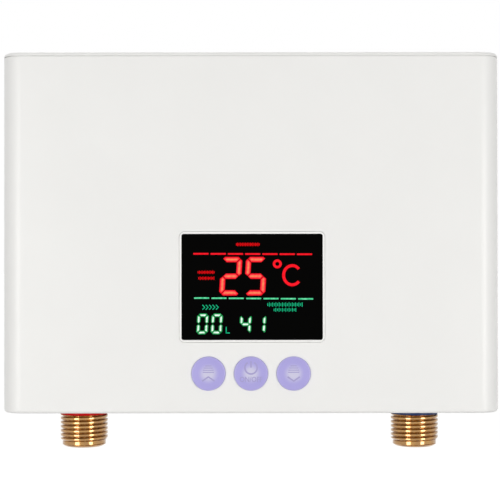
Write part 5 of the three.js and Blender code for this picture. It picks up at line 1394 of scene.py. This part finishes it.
def make_seal():
    """The rubber frame between cover and plate, its edges a little rounded."""
    low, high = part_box("housing_seal")
    outer, inner, edge = HALF_WIDTH - high.x, WALL, RUBBER_ROUND / 2
    section = [
        (outer + edge, low.y), (outer, low.y + edge), (outer, high.y - edge), (outer + edge, high.y),
        (inner - edge, high.y), (inner, high.y - edge), (inner, low.y + edge), (inner - edge, low.y),
    ]
    seal = object_from(frame_ring(section, edge * 2, SEAL_STEPS), "housing_seal_frame")
    dress(seal, "rubber_dark", "housing_seal")


def make_grommet():
    """The rubber ring that a supply cable passes through, with round lips on both sides of the plate."""
    low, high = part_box("cable_grommet")
    lip, waist, bore = reach("cable_grommet", 0), GROMMET_HOLE_RADIUS - FIT_GAP, GROMMET_BORE
    inner_lip = PLATE_FRONT_Y - FIT_GAP
    soft = RUBBER_ROUND
    profile = [(bore, high.y - 2 * soft), (bore + 2 * soft, high.y)]
    profile += arc(soft, 90, 0, LIP_STEPS, (lip - soft, high.y - soft))
    profile += arc(soft, 0, -90, LIP_STEPS, (lip - soft, high.y - GROMMET_LIP + soft))
    profile += [
        (waist, high.y - GROMMET_LIP), (waist, inner_lip), (lip - soft, inner_lip), (lip, inner_lip - soft),
        (waist + soft, low.y), (bore + soft, low.y), (bore, low.y + soft),
    ]
    ring = turned(profile, "y", front_place("cable_grommet"), closed=True)
    dress(object_from(ring, "cable_grommet_ring"), "rubber_dark", "cable_grommet")


def filter_rings(centre, outer, low_z, high_z):
    """Closed rings: the two rims, then the wires that run round between them."""
    inner = outer - 2 * FILTER_WIRE
    sections = []
    for bottom, top in ((low_z, low_z + FILTER_RIM), (high_z - FILTER_RIM, high_z)):
        sections.append([(inner, bottom), (outer, bottom), (outer, top), (inner, top)])
    for row in range(FILTER_ROWS):
        z = low_z + FILTER_RIM + (high_z - low_z - 2 * FILTER_RIM) * (row + 0.5) / FILTER_ROWS
        sections.append(circle(FILTER_WIRE, (outer - FILTER_WIRE, z), FILTER_RING_SIDES))
    return [[level(circle(radius, centre), z) for radius, z in section] for section in sections]


def make_filter():
    """The inlet strainer: two rims, upright wires, rings of wire and a closed top."""
    low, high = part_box("inlet_filter")
    centre = middle("inlet_filter")
    outer = reach("inlet_filter", 0)
    cup = bmesh.new()
    for rings in filter_rings(centre, outer, low.z, high.z):
        add_loft(cup, rings, closed=True)
    lid = circle(outer - FILTER_WIRE, centre)
    add_loft(cup, [level(lid, high.z - FILTER_RIM * share) for share in FILTER_LID_SHARES])
    for place in circle(outer - FILTER_RIB_INSET, centre, FILTER_RIBS):
        wire = circle(FILTER_WIRE, place, FILTER_WIRE_SIDES)
        add_loft(cup, [level(wire, z) for z in (low.z + FILTER_RIM / 2, high.z - FILTER_RIM / 2)])
    dress(object_from(facing_out(cup), "inlet_filter_mesh"), "steel", "inlet_filter")


# Leads inside the case, along the routes that the solids have, in millimetres

MILLIMETRES = 1000
ROUTES = {
    "load_lead": [
        (95.3, -30, 50), (98, -30.8, 49.6), (99.8, -35, 45), (100, -38, 36), (100, -40, 20), (98.5, -43, 2),
        (94, -44.5, -16), (88, -44.5, -27), (81.5, -44.5, -30), (77.9, -43.5, -26), (77.9, -43.5, -19.3),
    ],
    "live_lead": [
        (95.3, -30, 34), (98, -29.2, 33.6), (99.8, -24, 30), (99.4, -15, 24), (97.5, -10, 10),
        (96.5, -9, -15), (93, -9, -38), (82, -9, -47.5), (60, -9, -48.8), (30, -9, -48.2), (4, -9, -47.4),
        (-6, -9.2, -47.6), (-9.4, -9.5, -49), (-9.98, -9.6, -50.6), (-9.98, -9.6, -52.2),
    ],
    "earth_wire": [
        (56, -4.4, -58.15), (56, -4.6, -52), (56.5, -6.5, -36), (57, -8, -12), (57, -8.6, 8), (57, -11, 20),
        (57, -15.2, 27.2),
    ],
    "ribbon_cable": [
        (-6, -46.1, -12), (-6, -43, -12), (-6, -36, -9), (-6, -30, -2), (-6, -24, 1), (-6, -18, 0),
        (-6, -12.9, 0),
    ],
}
LEAD_RADII = {"load_lead": 0.0012, "live_lead": 0.0012, "earth_wire": 0.0011}
LEAD_SIDES = 16
ROUTE_STEPS = 8
CORE_RADIUS = 0.0006
BARE_END = 0.0018
RIBBON_WIDTH = 0.014
RIBBON_THICKNESS = 0.001
RIBBON_CORES = 10
RIBBON_VALLEY_SHARE = 0.6
STEPS_A_CORE = 6
STEEP_SHARE = 0.5
SIDEWAYS = Vector((1.0, 0.0, 0.0))
UPWARD = Vector((0.0, 0.0, 1.0))


def smooth_route(node):
    """The centripetal curve through a lead's points."""
    points = [Vector(point) / MILLIMETRES for point in ROUTES[node]]
    ends = [2 * points[0] - points[1], *points, 2 * points[-1] - points[-2]]
    route = [points[0]]
    for before, first, last, after in zip(ends, ends[1:], ends[2:], ends[3:]):
        back, here, ahead = [math.sqrt(part.length) for part in (first - before, last - first, after - last)]
        start = (first - before) / back - (last - before) / (back + here) + (last - first) / here
        end = (last - first) / here - (after - first) / (here + ahead) + (after - last) / ahead
        handles = (first + start * here / 3, last - end * here / 3)
        route += interpolate_bezier(first, *handles, last, ROUTE_STEPS + 1)[1:]
    return route


def shortened(route, length):
    """The route without the stretch of this length at each end."""
    ends = (route[0], route[-1])
    return [point for point in route if min((point - end).length for end in ends) >= length]


def swept(section, route, side):
    """A section carried along a route. side is where the section's first axis starts out."""
    rings = []
    for index, spot in enumerate(route):
        before, after = route[max(index - 1, 0)], route[min(index + 1, len(route) - 1)]
        along = (after - before).normalized()
        side = (side - along * side.dot(along)).normalized()
        rings.append([spot + side * u + along.cross(side) * v for u, v in section])
    return lofted(rings)


def ribbon_section():
    """Flat cable in section: one ridge for each core."""
    upper = []
    steps = RIBBON_CORES * STEPS_A_CORE
    for step in range(steps + 1):
        wave = abs(math.sin(math.pi * step / STEPS_A_CORE))
        ridge = RIBBON_VALLEY_SHARE + (1 - RIBBON_VALLEY_SHARE) * wave
        upper.append((RIBBON_WIDTH * (step / steps - 0.5), RIBBON_THICKNESS / 2 * ridge))
    return upper + [(u, -v) for u, v in reversed(upper)]


def make_leads():
    """Round insulated leads with bare copper ends, and the ridged flat cable between the boards."""
    for node, radius in LEAD_RADII.items():
        route = smooth_route(node)
        side = UPWARD if abs((route[1] - route[0]).normalized().z) < STEEP_SHARE else SIDEWAYS
        cover = swept(circle(radius, sides=LEAD_SIDES), shortened(route, BARE_END), side)
        dress(object_from(cover, f"{node}_cover"), SLOT_OF[node], node)
        core = swept(circle(CORE_RADIUS, sides=LEAD_SIDES), route, side)
        dress(object_from(core, f"{node}_core"), "copper")
    ribbon = swept(ribbon_section(), smooth_route("ribbon_cable"), SIDEWAYS)
    dress(object_from(ribbon, "ribbon_cable_strip"), SLOT_OF["ribbon_cable"], "ribbon_cable")


# Pieces that keep their own shape

SMOOTH_ANGLE = 36
SOFT_EDGE = 0.0002
SOFT_EDGE_ANGLE = 40
SOFT_EDGE_STEPS = 2
WELD_REACH = 0.00001


def smoothing_nodes():
    """A node group that shades a mesh smooth but for edges sharper than SMOOTH_ANGLE."""
    tree = bpy.data.node_groups.new("smooth_rounds", "GeometryNodeTree")
    for way in ("INPUT", "OUTPUT"):
        tree.interface.new_socket("Geometry", in_out=way, socket_type="NodeSocketGeometry")
    start = add_node(tree, "NodeGroupInput")
    bend = add_node(tree, "GeometryNodeInputMeshEdgeAngle")
    sharp = add_node(tree, "FunctionNodeCompare", {
        0: bend.outputs["Unsigned Angle"], 1: math.radians(SMOOTH_ANGLE),
    }, operation="GREATER_THAN")
    faces = add_node(tree, "GeometryNodeSetShadeSmooth", {"Geometry": start.outputs[0]}, domain="FACE")
    edges = add_node(tree, "GeometryNodeSetShadeSmooth", {
        "Geometry": faces.outputs[0], "Selection": sharp.outputs[0], "Shade Smooth": False,
    }, domain="EDGE")
    add_node(tree, "NodeGroupOutput", {0: edges.outputs[0]})
    return tree


def add_modifier(thing, kind, **settings):
    change = thing.modifiers.new(kind.lower(), kind)
    for name, value in settings.items():
        setattr(change, name, value)


def soften(thing, smoothing):
    """Rounds a carried-over piece's edges a little and smooths its shading, without touching its mesh."""
    add_modifier(thing, "WELD", merge_threshold=WELD_REACH)
    add_modifier(thing, "BEVEL", width=SOFT_EDGE, segments=SOFT_EDGE_STEPS, limit_method="ANGLE",
                 angle_limit=math.radians(SOFT_EDGE_ANGLE))
    add_modifier(thing, "NODES", node_group=smoothing)
    add_modifier(thing, "WEIGHTED_NORMAL", keep_sharp=True)


def carry_over():
    """Gives every piece that nothing replaces its material and softer edges."""
    replaced = set()
    for thing in bpy.data.objects:
        replaced.update(thing.get("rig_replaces", []))
    smoothing = smoothing_nodes()
    for node, slot in SLOT_OF.items():
        if node in replaced:
            continue
        thing = NODES[node]
        for holder in thing.material_slots:
            holder.material = MATERIALS[slot]
        if not thing.material_slots:
            thing.data.materials.append(MATERIALS[slot])
        soften(thing, smoothing)


# Stage, lights and camera

CAMERA_PLACE = (-0.000382, -0.669, -0.01251)
CAMERA_PITCH = 0.0083
CAMERA_ROLL = 0.0012
CAMERA_LENS = 103.43
CAMERA_SENSOR = 36.0
CAMERA_CLIP = (0.01, 100.0)
FLOOR_DROP = 0.25
FLOOR_REACH = 40.0
FLOOR_PAINT = (0.5, 0.5, 0.5, 1.0)
FLOOR_GLOW = 0.02
FLOOR_WHITE = 0.72
SKY_COLOUR = (1.0, 0.995, 0.985, 1.0)
SKY_LOW = 0.57
SKY_HIGH = 0.56
PLAIN_WHITE = (1.0, 1.0, 1.0, 1.0)
LAMP_DISTANCE = 1.2
LAMP_COLOUR = (1.0, 0.99, 0.97)
LAMP_HEIGHT = 0.5
# Azimuth, rise, width and power
LAMPS = {
    "lamp_left": (-33.0, -5.0, 0.44, 4.48),
    "lamp_right": (38.5, -5.0, 0.38, 4.2),
    "lamp_back": (180.0, 48.0, 0.8, 3.6),
}


def seen_directly(tree):
    """1 for rays from the camera and for those that a shiny or clear surface sends on."""
    path = add_node(tree, "ShaderNodeLightPath").outputs
    mirror = add_math(tree, "MAXIMUM", path["Is Camera Ray"], path["Is Glossy Ray"])
    return add_math(tree, "MAXIMUM", mirror, path["Is Transmission Ray"])


def stage_world():
    world = bpy.data.worlds.new("studio")
    scene.world = world
    world.use_nodes = True
    tree = world.node_tree
    tree.nodes.clear()
    place = add_node(tree, "ShaderNodeTexCoord").outputs["Generated"]
    height = add_node(tree, "ShaderNodeSeparateXYZ", {0: place}).outputs["Z"]
    strength = spread(tree, height, SKY_LOW, SKY_HIGH, (0.0, 1.0))
    soft = add_node(tree, "ShaderNodeBackground", {"Color": SKY_COLOUR, "Strength": strength})
    white = add_node(tree, "ShaderNodeBackground", {"Color": PLAIN_WHITE, "Strength": 1.0})
    mix = add_node(tree, "ShaderNodeMixShader", {
        0: seen_directly(tree), 1: soft.outputs[0], 2: white.outputs[0],
    })
    add_node(tree, "ShaderNodeOutputWorld", {"Surface": mix.outputs[0]})


def floor_material():
    """Pale paint that is plain white where it is seen directly."""
    material, tree, _ = new_material("floor_pale")
    tree.nodes.clear()
    strength = add_math(tree, "MULTIPLY_ADD", seen_directly(tree), FLOOR_WHITE, FLOOR_GLOW)
    glow = add_node(tree, "ShaderNodeEmission", {"Strength": strength})
    paint = add_node(tree, "ShaderNodeBsdfDiffuse", {"Color": FLOOR_PAINT})
    both = add_node(tree, "ShaderNodeAddShader", {0: glow.outputs[0], 1: paint.outputs[0]})
    add_node(tree, "ShaderNodeOutputMaterial", {"Surface": both.outputs[0]})
    return material


def make_floor():
    """A pale floor well under the heater, which hangs clear of it as if on a wall."""
    far = FLOOR_REACH
    sheet = bmesh.new()
    outline = level([(-far, -far), (far, -far), (far, far), (-far, far)], MOUTH_Z - FLOOR_DROP)
    sheet.faces.new([sheet.verts.new(point) for point in outline])
    floor = object_from(sheet, "studio_floor")
    floor.data.materials.append(floor_material())


def make_lamp(name, azimuth, rise, width, power):
    """A soft lamp that faces the heater, from an azimuth that starts in front."""
    light = bpy.data.lights.new(name, "AREA")
    light.shape = "RECTANGLE"
    light.size = width
    light.size_y = LAMP_HEIGHT
    light.energy = power
    light.color = LAMP_COLOUR
    lamp = bpy.data.objects.new(name, light)
    turn, rise = math.radians(azimuth), math.radians(rise)
    away = Vector((math.sin(turn) * math.cos(rise), -math.cos(turn) * math.cos(rise), math.sin(rise)))
    lamp.location = away * LAMP_DISTANCE
    lamp.rotation_euler = away.to_track_quat("Z", "Y").to_euler()
    scene.collection.objects.link(lamp)


def make_camera():
    camera = bpy.data.objects.new("camera", bpy.data.cameras.new("camera"))
    camera.data.sensor_width = CAMERA_SENSOR
    camera.data.lens = CAMERA_LENS
    camera.data.clip_start, camera.data.clip_end = CAMERA_CLIP
    camera.location = CAMERA_PLACE
    camera.rotation_euler = (QUARTER_TURN + CAMERA_PITCH, CAMERA_ROLL, 0.0)
    scene.collection.objects.link(camera)
    scene.camera = camera


def make_studio():
    stage_world()
    make_floor()
    for name, values in LAMPS.items():
        make_lamp(name, *values)
    make_camera()
    scene.view_settings.view_transform = "Standard"


def main():
    make_front_cover()
    make_lens_frame()
    make_window()
    make_screen_marks()
    make_buttons()
    make_water_connections()
    make_rear_plate()
    make_seal()
    make_grommet()
    make_filter()
    make_screws()
    make_leads()
    carry_over()
    make_studio()


main()
